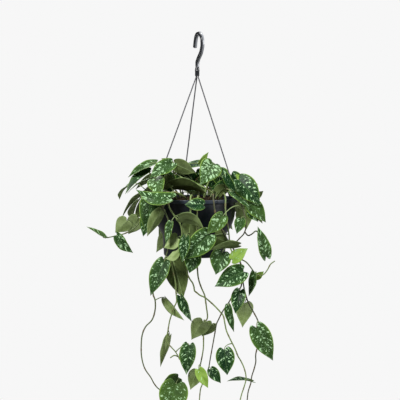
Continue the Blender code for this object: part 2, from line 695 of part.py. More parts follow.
class Blade:
    """A heart-shaped blade from its base, where the stalk meets it, to its tip."""

    def __init__(self, base, tip, width, facing, turn, fold, arch, slide):
        self.base, self.tip, self.slide = base, tip, slide
        self.width, self.fold, self.arch = width, math.radians(fold), arch
        self.facing, self.turn = facing, math.radians(turn)
        self.length = (tip - base).length
        self.along = (tip - base).normalized()
        ahead = (facing - self.along * facing.dot(self.along)).normalized()
        self.normal = ahead * math.cos(self.turn) + self.along.cross(ahead) * math.sin(self.turn)
        self.side = self.along.cross(self.normal)

    def moved(self, distance):
        shift = self.slide * distance
        copy = Blade.__new__(Blade)
        copy.__dict__.update(self.__dict__)
        copy.base, copy.tip = self.base + shift, self.tip + shift
        return copy

    def point(self, u, v, lift=0.0):
        """The place at u along and v across the blade, lifted off its middle surface."""
        lobe = LOBE_REACH * abs(v) ** 1.5 * (1 - u) ** 3
        x = self.length * (u - lobe)
        y = self.width / 2 * v * share_between(HALF_WIDTHS, u)
        rise = abs(y) * math.sin(self.fold) + self.arch * self.length * math.sin(math.pi * x / self.length)
        place = self.base + self.along * x + self.side * (y * math.cos(self.fold)) + self.normal * rise
        if v == 0:
            return place + self.normal * (lift / math.cos(self.fold))
        lean = math.copysign(self.fold, v)
        return place + (self.normal * math.cos(lean) - self.side * math.sin(lean)) * lift

    def mesh(self, thickness):
        """The blade as a closed solid, both faces split alike."""
        columns = (-1, 0, 1)
        points, faces = [], []
        for lift in (thickness / 2, -thickness / 2):
            for u in BLADE_ROWS:
                points += [self.point(u, v, lift) for v in columns]
            points.append(self.point(1, 0, lift))
        rows = len(BLADE_ROWS)
        half = len(points) // 2
        top = []
        for row in range(rows - 1):
            a = 3 * row
            top += [(a, a + 1, a + 3), (a + 1, a + 4, a + 3), (a + 1, a + 2, a + 5), (a + 1, a + 5, a + 4)]
        a = 3 * (rows - 1)
        top += [(a, a + 1, a + 3), (a + 1, a + 2, a + 3)]
        faces += top
        faces += [(c + half, b + half, a + half) for a, b, c in top]
        rim = [*(3 * row for row in range(rows)), half - 1, *(3 * row + 2 for row in reversed(range(rows)))]
        for a, b in zip(rim, rim[1:]):
            faces.append((a, b, b + half))
            faces.append((a, b + half, a + half))
        return points, faces

    def closed(self, thickness):
        """The blade alone, its base edge closed straight across."""
        points, faces = self.mesh(thickness)
        half = len(points) // 2
        for a, b in ((2, 1), (1, 0)):
            faces.append((a, b, b + half))
            faces.append((a, b + half, a + half))
        return points, faces

    def with_stalk(self, route, radii):
        """The blade and its stalk as one closed solid: the stalk's last ring lies in the base edge."""
        points, faces = self.mesh(BLADE_THICKNESS)
        half = len(points) // 2
        left, right = len(points), len(points) + 1
        for corner in (0, 2):
            middle = (points[corner] + points[corner + half]) / 2
            points.append(self.base.lerp(middle, STALK_END_RADIUS / (middle - self.base).length))
        faces += [(1, 0, left), (left, 0, half), (left, half, half + 1)]
        faces += [(2, 1, right), (2, right, half + 2), (half + 2, right, half + 1)]
        faces.append((right, left, half + 1))
        ring = (1, left, right)
        backwards = list(zip(route[::-1], radii[::-1], frames_along(route[::-1], self.side)))
        for centre, radius, (_, side, top) in backwards[1:]:
            start = len(points)
            for k in range(STALK_SIDES):
                angle = math.pi / 2 + 2 * math.pi * k / STALK_SIDES
                points.append(centre + side * (radius * math.cos(angle)) + top * (radius * math.sin(angle)))
            after = tuple(range(start, start + STALK_SIDES))
            for k in range(STALK_SIDES):
                j = (k + 1) % STALK_SIDES
                faces += [(ring[k], ring[j], after[j]), (ring[k], after[j], after[k])]
            ring = after
        faces.append(ring)
        return points, faces


def stalk_route(blade, stems):
    """The stalk from the nearest stem, rising a little, into the base of its blade."""
    aim = blade.base - blade.along * (8 * MM)
    start = min((point for stem in stems for point in stem), key=lambda point: (point - aim).length)
    span = (blade.base - start).length
    lift = Vector((0, 0, 0.18 * span))
    leave = start.lerp(blade.base, 0.35) + lift
    arrive = blade.base - blade.along * (0.3 * span) + lift * 0.2
    route = []
    for k in range(STALK_STEPS + 1):
        t = k / STALK_STEPS
        route.append(
            start * (1 - t) ** 3
            + leave * (3 * t * (1 - t) ** 2)
            + arrive * (3 * t * t * (1 - t))
            + blade.base * t**3
        )
    return route


def stalk_radii(count, extra=0.0):
    return [
        extra + STALK_RADIUS + (STALK_END_RADIUS - STALK_RADIUS) * k / (count - 1) for k in range(count)
    ]


def stem_radii(route, first):
    """Stems thin out towards their tips, and a side stem starts inside its parent."""
    start = STEM_RADIUS if first else STEM_RADIUS * 0.8
    last = len(route) - 1
    return [start + (STEM_TIP_RADIUS - start) * (k / last) ** 1.5 for k in range(len(route))]


def front_vines():
    """The drawn vines: the hole of each, its stems' routes and its blades."""
    vines = {}
    for name, plan in VINES.items():
        hole = tuple(value * MM for value in plan["hole"])
        foot = stem_foot(hole)
        stems = []
        for number, knots in enumerate(plan["stems"]):
            places = [front(*knot) for knot in knots]
            if number == 0:
                stems.append([foot, *smooth([stem_mouth(foot), *places], STEM_STEP)])
            else:
                stems.append(smooth(places, STEM_STEP))
        blades = []
        for row in BLADES[name]:
            base, tip = front(*row[0:3]), front(*row[3:6])
            slide = (front(row[0], row[1], row[2] + 100) - base).normalized()
            width, turn, fold, arch = row[6:]
            blades.append(Blade(base, tip, width * MM, Vector((0, -1, 0)), turn, fold, arch, slide))
        vines[name] = (hole, stems, blades)
    return vines


def back_vine(degrees, hang, count, draw):
    """One vine round the back: up out of the soil, over the rim and down, with blades either side."""
    angle = math.radians(degrees)
    outward = Vector((math.cos(angle), math.sin(angle), 0))
    across = Vector((-math.sin(angle), math.cos(angle), 0))
    rim = Vector((POT_AXIS_X, 0, RIM_TOP_Z))
    hole = (POT_AXIS_X + BACK_HOLE_RADIUS * outward.x, BACK_HOLE_RADIUS * outward.y)
    foot = stem_foot(hole)
    up = Vector((0, 0, 1))
    knots = [stem_mouth(foot), rim + outward * (54 * MM) + up * (24 * MM)]
    knots.append(rim + outward * (76 * MM) + up * (26 * MM))
    knots.append(rim + outward * BACK_HANG_RADIUS + up * (4 * MM))
    sway = draw.uniform(-8, 8) * MM
    for share in (0.35, 0.7, 1):
        knots.append(rim + outward * BACK_HANG_RADIUS + across * (sway * share) - up * (hang * share))
    stem = [foot, *smooth(knots, STEM_STEP)]
    blades = []
    for number in range(count):
        share = 0.25 + 0.75 * (number + 0.5) / count
        node = stem[min(len(stem) - 1, round(share * (len(stem) - 1)))]
        hand = 1 if number % 2 else -1
        length = draw.uniform(54, 72) * MM
        crown = max(0.0, 1 - number / (0.55 * count))
        base = node + outward * BACK_STANDS_OUT + up * (crown * BACK_CROWN_RISE)
        base += across * (hand * draw.uniform(12, 20) * MM)
        aim = outward * (0.5 + 0.25 * crown) - up * (0.75 - 0.5 * crown)
        aim += across * (hand * draw.uniform(0.25, 0.6))
        tip = base + aim.normalized() * length
        facing = (outward + up * (0.5 + crown)).normalized()
        blades.append(
            Blade(
                base,
                tip,
                length * draw.uniform(0.56, 0.66),
                facing,
                draw.uniform(-18, 18),
                draw.uniform(3, 12),
                draw.uniform(0.04, 0.1),
                outward,
            )
        )
    return hole, [stem], blades


def back_vines():
    draw = random.Random(BACK_SEED)
    return {
        f"vine_back_{number}": back_vine(*plan, draw) for number, plan in enumerate(BACK_VINES, 1)
    }


def tree(points, faces):
    return BVHTree.FromPolygons([tuple(point) for point in points], faces)


def slides():
    """Distances to try, nearest first: none, then out and in by turns."""
    return [0.0] + [sign * SLIDE_STEP * k for k in range(1, SLIDE_STEPS) for sign in (1, -1)]


def settle(vines, solids):
    """Slides each blade out or in until it and its stalk clear everything placed before it.

    Where the leaves round the back are densest, one that finds no room is left out.
    """
    placed = [(None, "solid", solid) for solid in solids]
    for name, (_, stems, _) in vines.items():
        for number, stem in enumerate(stems):
            placed.append((name, "stem", tree(*tube(stem, stem_radii(stem, number == 0), STEM_SIDES))))
    settled = {}
    for name, (_, stems, blades) in vines.items():
        settled[name] = []
        for blade in blades:
            for distance in slides():
                moved = blade.moved(distance)
                route = stalk_route(moved, stems)
                flat = tree(*moved.closed(BLADE_THICKNESS + 2 * BLADE_CLEARANCE))
                stalk = tree(*tube(route, stalk_radii(len(route), BLADE_CLEARANCE / 2), STALK_SIDES))
                if any(flat.overlap(other) for _, _, other in placed):
                    continue
                others = [
                    other for owner, kind, other in placed if owner != name or kind == "blade"
                ]
                if any(stalk.overlap(other) for other in others):
                    continue
                placed.append((name, "blade", tree(*moved.closed(BLADE_THICKNESS))))
                placed.append((name, "stalk", tree(*tube(route, stalk_radii(len(route)), STALK_SIDES))))
                settled[name].append((moved, route))
                break
    return settled


def make_vine(name, stems, leaves, material):
    """One vine: stems, stalks and blades fused into one solid."""
    pieces = []
    for number, stem in enumerate(stems):
        pieces.append(mesh_object(name, *tube(stem, stem_radii(stem, number == 0), STEM_SIDES), material))
    for blade, route in leaves:
        pieces.append(mesh_object("leaf", *blade.with_stalk(route, stalk_radii(len(route)))))
    for piece in pieces:
        flip_if_inside_out(piece)
    combine(pieces[0], pieces[1:], "UNION", "MANIFOLD")
    return pieces[0]


def main():
    clear_scene()
    make_pot()
    vines = {**front_vines(), **back_vines()}
    make_soil([hole for hole, _, _ in vines.values()])
    make_hook()
    for name, angle in STRAND_ANGLES.items():
        make_strand(name, angle)
    solids = []
    for made in bpy.context.scene.collection.objects:
        if made.name != "soil":
            points = [vertex.co for vertex in made.data.vertices]
            faces = [tuple(polygon.vertices) for polygon in made.data.polygons]
            solids.append(tree(points, faces))
    settled = settle(vines, solids)
    leaf = plastic("leaf", (0.05, 0.13, 0.05), 0.45)
    for name, (_, stems, _) in vines.items():
        make_vine(name, stems, settled[name], leaf)


main()
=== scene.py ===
"""The looks of the satin pothos in its hanging pot: fine leaves, stems, pot, soil and hanger."""

import copy
import random
from math import asin, cos, exp, hypot, pi, radians, sin, sqrt, tan

import bpy
from mathutils import Matrix, Vector
from mathutils.bvhtree import BVHTree


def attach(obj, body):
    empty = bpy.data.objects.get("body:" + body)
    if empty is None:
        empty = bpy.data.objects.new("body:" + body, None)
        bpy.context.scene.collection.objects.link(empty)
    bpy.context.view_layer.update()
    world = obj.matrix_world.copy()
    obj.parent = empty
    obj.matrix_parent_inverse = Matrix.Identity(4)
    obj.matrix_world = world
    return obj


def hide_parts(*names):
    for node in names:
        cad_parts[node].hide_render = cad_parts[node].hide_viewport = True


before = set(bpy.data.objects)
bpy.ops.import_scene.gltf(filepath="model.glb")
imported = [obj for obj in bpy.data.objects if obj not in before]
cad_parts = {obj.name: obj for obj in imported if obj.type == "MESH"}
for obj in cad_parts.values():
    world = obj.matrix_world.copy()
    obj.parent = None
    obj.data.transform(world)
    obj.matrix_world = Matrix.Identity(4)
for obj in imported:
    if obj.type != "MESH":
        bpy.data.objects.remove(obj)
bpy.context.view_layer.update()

MM = 0.001

# The camera looks from a little above at the middle of the view, whose frame is 0.8 m wide there
VIEW_TILT = radians(4)
VIEW_DISTANCE = 6.0
VIEW_CENTRE = (2 * MM, 329 * MM)
VIEW_WIDTH = 0.8
SENSOR = 36.0
TO_VIEWER = Vector((0, -1, 0))

# The studio: a floor, the light of its surround as seen and as cast, and each lamp's place, size
# and power
FLOOR_Z = -3.0
FLOOR_RADIUS = 1.2
FLOOR_GLOW = 0.36
PAPER_LIGHT = 0.93
ROOM_LIGHT = 0.22
LAMP_AIM_Z = -0.42
LAMPS = (
    ("key", (-1.5, -2.0, 1.5), 1.0, 134.0),
    ("fill", (2.2, -1.0, 0.3), 1.2, 48.0),
    ("top", (0.4, 0.8, 1.9), 1.2, 35.0),
    ("rear", (-1.2, 2.6, 0.8), 1.6, 30.0),
)

# Pot and soil, as the frame has them, with the soil's loose crumbs (sizes in millimetres)
POT_AXIS_X = -9 * MM
RIM_TOP_Z = -325 * MM
RIM_RADIUS = 84 * MM
RIM_BAND_DEPTH = 7 * MM
BOWL_RADIUS = 81.6 * MM
BOWL_STRAIGHT = 22 * MM
BOWL_ARC = 78.4 * MM
FOOT_TOP_DEPTH = 72 * MM
FOOT_RADIUS = 61.5 * MM
FOOT_CORNER = 5 * MM
FOOT_RECESS = 3 * MM
POT_HEIGHT = 117 * MM
POT_WALL = 1.8 * MM
SOIL_EDGE_DEPTH = 7 * MM
SOIL_DOME = 8 * MM
SOIL_SEED = 11
SOIL_CRUMBS = 420
CRUMB_SIZES = (0.8, 2.6)
CRUMB_POINTS = ((1, 0, 0), (-1, 0, 0), (0, 1, 0), (0, -1, 0), (0, 0, 1), (0, 0, -1))
CRUMB_FACES = ((0, 2, 4), (2, 1, 4), (1, 3, 4), (3, 0, 4), (2, 0, 5), (1, 2, 5), (3, 1, 5), (0, 3, 5))
GAP = 0.3 * MM
CORNER_STEPS = 4

# Hook and strands, as the frame has them. The shank's points and the hub's rings are in millimetres
HOOK_TURN = radians(-66)
HOOK_HALF_WIDTH = 17 * MM
HOOK_ARCH_HEIGHT = 20 * MM
HOOK_DEPTH = 6.6 * MM
HOOK_FLANGE = 6.4 * MM
HOOK_FLANGE_THICKNESS = 1.6 * MM
HOOK_WEB = 2 * MM
HOOK_FRAME_STEP = 6 * MM
HOOK_STEP = 1 * MM
HOOK_ARCH_ANGLES = (165, 140, 115, 90, 65, 40, 15, -10)
HOOK_SHANK = ((11, -34), (0, -45), (-8, -55), (-8, -63))
HUB_CENTRE = Vector((-3.6 * MM, 0, 0))
HUB_RADIUS = 4.4 * MM
HUB_TOP_Z = -64 * MM
HUB_BOTTOM_Z = -82 * MM
HUB_RINGS = (
    (0, 0.7), (0.8, 0.86), (2.5, 0.96), (4, 1), (6, 1), (6.4, 1.06), (8, 1.06), (8.4, 1), (16.4, 1),
    (17.3, 0.96), (18, 0.84),
)
STRAND_RADIUS = 1.05 * MM
STRAND_SWELL = 1.2
STRAND_SOCKET_DEPTH = 8 * MM
STRAND_SOCKET_RING = 2.4 * MM
STRAND_ANGLES = {
    "strand_right": radians(-9),
    "strand_back": radians(107),
    "strand_left": radians(191),
}
CLIP_WIDTH = 6 * MM
CLIP_THICKNESS = 2 * MM
CLIP_RISE = 5 * MM
CLIP_REACH = 1.6 * MM

# Stems, stalks and blades, and the places of their materials in a vine
UPPER, UNDER, EDGE, STEM, STALK = range(5)
STEM_RADIUS = 1.7 * MM
STEM_TIP_RADIUS = 1.1 * MM
CAD_STEM_STEP = 13 * MM
STEM_STEP = 3 * MM
STEM_SIDES = 10
JOINT_SPACING = 38 * MM
JOINT_SWELL = 0.16
FORK_SHARE = 0.8
HOLE_DEPTH = 20 * MM
STALK_RADIUS = 1.05 * MM
STALK_END_RADIUS = 0.75 * MM
STALK_SWELL = 0.35 * MM
STALK_GREEN = 0.6
YOUNG_STALK_GREEN = 0.9
STALK_STEPS = 14
STALK_SIDES = 8
LEAF_SEED = 100
LEAF_THICKNESS = 0.45 * MM
LEAF_VEINS = 7.5
LEAF_VEIN_SLANT = 0.32
LEAF_QUILT = 0.16 * MM
LEAF_FOLD_WIDTH = 1.2 * MM
LEAF_GROOVE = 0.45 * MM
LEAF_GROOVE_WIDTH = 0.9 * MM
LEAF_WAVE = 0.75 * MM
LEAF_CURL = 0.5 * MM
LEAF_ROWS = 30
LEAF_COLUMNS = 11
LOBE_REACH = 0.12
HALF_WIDTHS = ((0, 0.55), (0.12, 0.85), (0.3, 1.0), (0.5, 0.88), (0.7, 0.58), (0.87, 0.24), (1, 0))
SLIDE_STEP = 3 * MM
SLIDE_STEPS = 18
PLACE_TOLERANCE = 1.2 * MM

# The fine outline runs through the frame's own widths, with rounder shoulders
HALF_WIDTHS_FINE = (
    (0, 0.56), (0.03, 0.68), (0.07, 0.785), (0.12, 0.875), (0.18, 0.945), (0.25, 0.99), (0.31, 1.0),
    (0.38, 0.985), (0.45, 0.94), (0.52, 0.87), (0.6, 0.765), (0.68, 0.635), (0.76, 0.475),
    (0.83, 0.325), (0.89, 0.195), (0.94, 0.1), (0.975, 0.04), (1, 0),
)

# The vines as the frame has them: the hole of each, how green its stems are, from brown at 0 to
# light green at 1, and its stems' points across, down and out
VINES = {
    "vine_over": (
        (26, -34), 0.9,
        [(28, 316, 50), (14, 306, 52), (-2, 298, 48), (-27, 288, 38), (-51, 274, 22)],
    ),
    "vine_left_crown": (
        (-38, 8), 0.45,
        [(-52, 303, -4), (-70, 290, 0), (-88, 282, 4), (-102, 272, 8), (-108, 262, 10)],
    ),
    "vine_middle_crown": (
        (10, -8), 1.0,
        [(14, 306, 8), (20, 292, 10), (26, 278, 12), (28, 264, 12)],
    ),
    "vine_inner_crown": (
        (-14, 20), 0.45,
        [(-14, 306, -22), (-10, 294, -24), (-2, 284, -26), (8, 276, -26)],
    ),
    "vine_right_crown": (
        (34, -4), 0.9,
        [(44, 312, 18), (54, 307, 24), (66, 311, 28), (78, 319, 32), (90, 329, 36), (100, 339, 38)],
    ),
    "vine_far_left": (
        (-52, -10), 0.45,
        [
            (-66, 314, 12), (-84, 311, 12), (-100, 322, 8), (-108, 340, 2), (-114, 362, 0), (-126, 382, 2),
            (-146, 395, 6), (-164, 400, 10), (-182, 404, 12), (-192, 404, 12),
        ],
    ),
    "vine_loop": (
        (-44, -36), 0.3,
        [
            (-54, 316, 52), (-66, 314, 64), (-76, 328, 72), (-73, 345, 76), (-64, 362, 80), (-58, 385, 78),
            (-58, 410, 74), (-66, 441, 70), (-78, 461, 66), (-90, 493, 60), (-92, 517, 58), (-88, 530, 58),
            (-88, 549, 58), (-94, 569, 57), (-107, 583, 56), (-114, 600, 55), (-116, 622, 55),
            (-115, 645, 56), (-109, 667, 58), (-97, 685, 60), (-90, 698, 62), (-80, 709, 64),
            (-64, 714, 66), (-50, 706, 70),
        ],
    ),
    "vine_olive": (
        (-24, -44), 0.7,
        [
            (-36, 318, 62), (-52, 313, 72), (-62, 326, 80), (-59, 345, 87), (-48, 362, 92), (-37, 378, 94),
            (-34, 402, 92), (-42, 428, 88), (-53, 449, 82), (-53, 468, 77), (-48, 489, 74), (-46, 515, 72),
            (-45, 533, 71), (-52, 547, 70), (-55, 558, 70), (-59, 572, 70), (-62, 589, 70), (-65, 608, 70),
            (-63, 616, 70), (-55, 625, 71), (-47, 634, 72), (-42, 643, 74), (-39, 649, 76),
        ],
        [(-42, 643, 74), (-50, 641, 76), (-58, 646, 78)],
    ),
    "vine_thin": (
        (2, -46), 0.6,
        [
            (0, 322, 66), (-2, 321, 80), (-3, 330, 92), (-4, 352, 93), (-4, 385, 92), (-4, 420, 90),
            (-4, 450, 84), (-3, 470, 76), (-1, 487, 70), (4, 503, 66), (11, 519, 65), (13, 530, 65),
            (15, 545, 65), (17, 560, 65), (16, 568, 66), (11, 574, 69), (9, 586, 71), (9, 602, 72),
            (9, 622, 72), (8, 632, 72), (6, 644, 72), (3, 659, 73), (1, 671, 75), (4, 686, 77),
            (7, 697, 77), (3, 709, 77), (1, 729, 76), (0, 748, 75), (3, 768, 75),
        ],
    ),
    "vine_cross": (
        (-12, -28), 0.85,
        [
            (-14, 321, 60), (-16, 320, 78), (-17, 328, 91), (-17, 352, 92), (-18, 385, 90), (-22, 420, 86),
            (-24, 452, 80), (-24, 474, 73), (-18, 488, 67), (-13, 495, 63), (-10, 504, 60), (-9, 511, 58),
            (-4, 515, 57), (2, 520, 56), (11, 524, 55), (20, 531, 54), (32, 542, 54), (44, 555, 54),
            (49, 562, 55), (52, 577, 57), (55, 591, 58), (62, 607, 60), (72, 627, 63), (78, 642, 66),
            (84, 652, 68), (90, 665, 70), (94, 680, 71), (94, 692, 70), (90, 706, 70), (86, 718, 70),
            (83, 730, 70), (80, 748, 70), (82, 772, 70),
        ],
    ),
    "vine_fork": (
        (24, -46), 0.1,
        [
            (27, 320, 66), (28, 318, 78), (29, 328, 90), (31, 345, 92), (34, 360, 93), (44, 385, 93),
            (58, 410, 92), (72, 432, 90), (82, 452, 88), (86, 470, 84), (87, 485, 80), (84, 503, 78),
            (78, 510, 77), (68, 521, 76), (58, 537, 75), (47, 553, 74), (39, 569, 74), (35, 578, 74),
            (32, 595, 74), (27, 623, 74), (23, 645, 74), (20, 663, 74), (17, 672, 74),
        ],
        [
            (87, 485, 80), (91, 509, 79), (96, 527, 77), (101, 539, 76), (110, 555, 75), (118, 571, 74),
            (121, 586, 72), (120, 612, 70), (114, 638, 70), (114, 653, 70), (111, 667, 70), (106, 683, 70),
            (104, 697, 70), (99, 713, 70), (97, 729, 70), (95, 750, 70), (98, 776, 70),
        ],
    ),
    "vine_tendril": (
        (40, -24), 0.6,
        [
            (46, 320, 46), (50, 316, 62), (53, 326, 77), (53, 348, 82), (56, 372, 84), (60, 398, 84),
            (62, 422, 82), (70, 438, 82), (83, 447, 82), (94, 453, 82), (103, 463, 81), (110, 473, 80),
            (118, 479, 78), (128, 479, 77), (137, 469, 76), (143, 458, 76), (152, 451, 76),
        ],
    ),
    "vine_right": (
        (44, -8), 0.2,
        [
            (54, 314, 22), (66, 314, 36), (78, 324, 46), (86, 342, 50), (92, 364, 52), (94, 382, 53),
            (90, 396, 54), (82, 405, 56), (74, 413, 58), (64, 421, 60),
        ],
        [
            (91, 392, 54), (98, 400, 56), (106, 397, 58), (114, 391, 58), (121, 398, 54), (127, 416, 50),
            (132, 434, 50),
        ],
    ),
}

# Blades as the frame has them: base and tip (across, down, out), width, turn, fold and arch, then
# the look of the side that is seen, where it isn't splashed
BLADES = {
    "vine_over": [
        (-48, 257, -8, -8, 275, 4, 30, 180, 0, 0.05, "dark"),
        (-54, 258, -18, -75, 246, -22, 18, 150, 0, 0.0, "dark"),
        (-54, 285, 14, -76, 311, 20, 30, 150, 0, 0.1, "dark"),
        (-48, 300, 20, 20, 321, 62, 48, -118, 0, 0.12, "dark"),
        (-54, 255, 34, -98, 285, 52, 36, 35, 5, 0.05),
    ],
    "vine_left_crown": [
        (-86, 255, 10, -142, 284, 26, 36, 68, 10, 0.05),
        (-98, 273, 22, -148, 317, 38, 34, 60, 35, 0.06, "dark"),
        (-88, 287, 34, -76, 325, 80, 36, 0, 0, 0.12, "silvered"),
    ],
    "vine_middle_crown": [
        (28, 257, 22, 2, 299, 74, 46, 0, 5, 0.08, "silvered"),
        (-18, 259, 2, 44, 266, 14, 42, -70, 0, 0.1, "dark"),
        (2, 257, -16, 19, 233, -22, 15, 40, 0, 0.0, "young"),
        (44, 267, 16, 54, 295, 32, 26, -50, 0, 0.05),
    ],
    "vine_inner_crown": [
        (8, 266, -24, 38, 306, -34, 46, 0, 0, 0.05, "dark"),
        (-32, 272, -26, -8, 312, -36, 42, 0, 0, 0.05, "dark"),
        (64, 280, -16, 86, 318, -26, 38, 0, 0, 0.05, "dark"),
        (-66, 278, -42, -52, 316, -52, 36, 10, 0, 0.05, "dark"),
        (-36, 297, -44, 14, 305, -50, 26, 20, 0, 0.05, "dark"),
        (62, 298, -40, 24, 307, -46, 26, 0, 0, 0.05, "dark"),
        (38, 272, -46, 60, 304, -52, 36, 0, 0, 0.05, "dark"),
    ],
    "vine_right_crown": [
        (80, 289, 34, 123, 339, 52, 46, -12, 6, 0.06),
        (54, 281, 22, 76, 313, 34, 28, 50, 0, 0.05, "dark"),
        (66, 313, 42, 102, 347, 52, 30, -60, 0, 0.04),
        (98, 303, 14, 73, 276, 4, 20, 0, 0, 0.0, "young"),
        (112, 324, 18, 129, 311, 12, 14, 160, 0, 0.0, "dark"),
        (36, 314, 30, 60, 300, 34, 26, 180, 0, 0.0, "dark"),
        (100, 332, 40, 134, 374, 46, 34, -20, 5, 0.05, "fresh"),
    ],
    "vine_far_left": [
        (-96, 322, 30, -108, 395, 46, 44, -12, 6, 0.04),
        (-122, 365, -6, -142, 397, -34, 35, 180, 0, 0.05, "pale"),
        (-144, 371, 8, -168, 394, -14, 34, 180, 0, 0.05, "pale"),
        (-164, 401, 20, -132, 435, 40, 30, 35, 8, 0.05),
        (-190, 404, 12, -225, 382, 0, 18, 60, 40, 0.0, "pale"),
        (-98, 352, 4, -112, 402, -6, 32, 20, 0, 0.05, "dark"),
    ],
    "vine_loop": [
        (-57, 327, 84, -126, 308, 66, 42, 50, 6, -0.18),
        (-76, 351, 66, -104, 402, 66, 30, 150, 15, 0.04, "pale"),
        (-70, 453, 72, -97, 521, 82, 38, 20, 6, 0.04),
        (-66, 527, 66, -30, 571, 72, 34, 150, 58, 0.0, "pale"),
        (-46, 699, 84, -66, 766, 98, 58, 0, 5, 0.04, "lit"),
        (-42, 686, 74, -74, 700, 68, 42, -38, 0, 0.1, "lit"),
    ],
    "vine_olive": [
        (-38, 365, 100, 10, 386, 106, 38, -130, 0, 0.16, "olive"),
        (-56, 375, 98, -66, 417, 98, 26, 55, 10, 0.0),
        (-44, 405, 92, -70, 425, 82, 34, 215, 0, 0.05, "pale"),
        (-42, 434, 92, -67, 447, 82, 26, 230, 0, 0.1, "pale"),
        (-52, 449, 86, -32, 527, 96, 47, 180, 8, 0.06, "dark"),
        (-36, 523, 80, -15, 573, 84, 32, 50, 10, 0.0),
        (-60, 604, 66, -78, 664, 70, 28, 125, 15, 0.0, "pale"),
        (-20, 621, 80, -26, 680, 86, 34, 12, 6, 0.06),
        (-37, 643, 78, -32, 621, 80, 10, 20, 20, 0.0, "dark"),
    ],
    "vine_thin": [
        (8, 339, 102, -29, 338, 98, 27, 25, 5, 0.05),
        (-14, 373, 102, -22, 412, 94, 36, 180, 0, 0.1, "olive"),
        (20, 398, 106, -31, 449, 116, 46, 0, 6, 0.05),
        (-10, 439, 94, -19, 476, 104, 34, 0, 5, 0.06),
        (8, 573, 86, -16, 609, 52, 37, 180, 0, 0.08, "pale"),
        (-4, 673, 86, -18, 710, 66, 29, 180, 0, 0.08, "pale"),
        (0, 670, 92, 18, 707, 100, 23, 0, 6, 0.05, "young"),
        (2, 760, 80, 24, 801, 90, 31, 0, 8, 0.05),
    ],
    "vine_cross": [
        (-26, 404, 98, -34, 454, 100, 26, 30, 8, 0.0),
        (51, 630, 80, 57, 681, 88, 38, 0, 5, 0.05),
        (106, 693, 58, 56, 693, 70, 30, 82, 0, 0.08),
        (80, 768, 74, 58, 808, 84, 33, 10, 8, 0.06),
    ],
    "vine_fork": [
        (88, 472, 88, 31, 502, 98, 42, 15, 5, 0.05),
        (60, 542, 80, 70, 594, 86, 29, 55, 10, 0.0),
        (26, 578, 82, 6, 603, 66, 26, 180, 10, 0.05, "olive"),
        (24, 669, 78, 44, 697, 86, 23, 0, 10, 0.04),
        (82, 511, 86, 72, 557, 96, 29, 10, 6, 0.06),
        (92, 536, 74, 88, 585, 40, 36, 180, 0, 0.1, "palest"),
        (116, 585, 80, 148, 652, 88, 42, 0, 5, 0.05),
        (98, 774, 74, 120, 806, 84, 28, -10, 8, 0.05),
    ],
    "vine_tendril": [
        (78, 419, 96, 22, 429, 100, 34, 120, 0, 0.06, "olive"),
        (67, 448, 102, 98, 426, 110, 27, -20, 0, 0.04, "young"),
        (46, 435, 94, 34, 479, 110, 42, 0, 5, 0.06),
        (32, 403, 84, 58, 415, 80, 38, 180, 0, 0.05, "dark"),
        (112, 476, 84, 99, 522, 82, 24, 42, 30, -0.1, "olive"),
        (114, 485, 82, 130, 472, 88, 15, 0, 20, 0.0, "young"),
    ],
    "vine_right": [
        (48, 361, 100, 16, 398, 110, 31, 0, 8, 0.05, "fresh"),
        (106, 341, 34, 118, 373, 62, 33, 20, 0, 0.05),
        (88, 349, 34, 96, 388, 24, 34, 180, 0, 0.05, "olive"),
        (84, 367, 68, 76, 397, 86, 23, 0, 5, 0.05),
        (134, 442, 56, 117, 382, 60, 31, 35, 10, 0.0),
    ],
}

# The vines round the back, which the photo doesn't show, follow one rule. Each has its bearing in
# degrees, how far it hangs below the rim and how many blades it has
BACK_SEED = 7
BACK_VINES = (
    (35, 8 * MM, 5),
    (58, 30 * MM, 6),
    (78, 100 * MM, 8),
    (98, 84 * MM, 8),
    (129, 14 * MM, 7),
    (160, 24 * MM, 6),
)
BACK_HOLE_RADIUS = 40 * MM
BACK_HANG_RADIUS = 96 * MM
BACK_CREST = ((54 * MM, 24 * MM), (76 * MM, 26 * MM), (BACK_HANG_RADIUS, 4 * MM))
BACK_CROWN_RISE = 16 * MM
BACK_STANDS_OUT = 8 * MM
BACK_GREEN = 0.45

# Each look of a blade: the tint of its upper side, how much silver it bears, and the tint of its
# underside, as shares that the leaf material reads (upper, silver, under)
LOOKS = {
    "splashed": (0.06, 0.6, 0.45),
    # The silvered look bears the most silver, partly the blades' own splashes and partly a painted
    # highlight that makes them paler.
    "silvered": (0.12, 1.0, 0.5),
    "fresh": (0.18, 0.55, 0.6),
    # The lit look is a painted highlight: a lighter copy of the leaf colours for blades in the light.
    "lit": (0.15, 0.36, 0.5),
    "young": (0.9, 0.15, 0.85),
    # The dark look is painted shade: a darker copy of the leaf colours, with fewer splashes, for blades
    # deep in the crown and undersides in shade.
    "dark": (0.02, 0.3, 0.1),
    "olive": (0.12, 0.5, 0.3),
    "pale": (0.2, 0.5, 0.48),
    "palest": (0.2, 0.5, 1.0),
}


def front(across, down, out):
    """The point that the front shows this far across and down from the hook, in millimetres."""
    reach = 1 - out * MM / VIEW_DISTANCE
    x = VIEW_CENTRE[0] + (across * MM - VIEW_CENTRE[0]) * reach
    drop = VIEW_CENTRE[1] + (down * MM - VIEW_CENTRE[1]) * reach
    z = -drop / cos(VIEW_TILT) + out * MM * tan(VIEW_TILT)
    return Vector((x, -out * MM, z))


def smooth(knots, step):
    """A Catmull-Rom curve through the knots, at points about one step apart."""
    ends = [2 * knots[0] - knots[1], *knots, 2 * knots[-1] - knots[-2]]
    route = []
    for before, start, end, after in zip(ends, ends[1:], ends[2:], ends[3:]):
        count = max(1, round((end - start).length / step))
        for k in range(count):
            t = k / count
            pull = (end - before) * t
            bend = (2 * before - 5 * start + 4 * end - after) * t**2
            twist = (3 * start - before - 3 * end + after) * t**3
            route.append(0.5 * (2 * start + pull + bend + twist))
    route.append(knots[-1].copy())
    return route


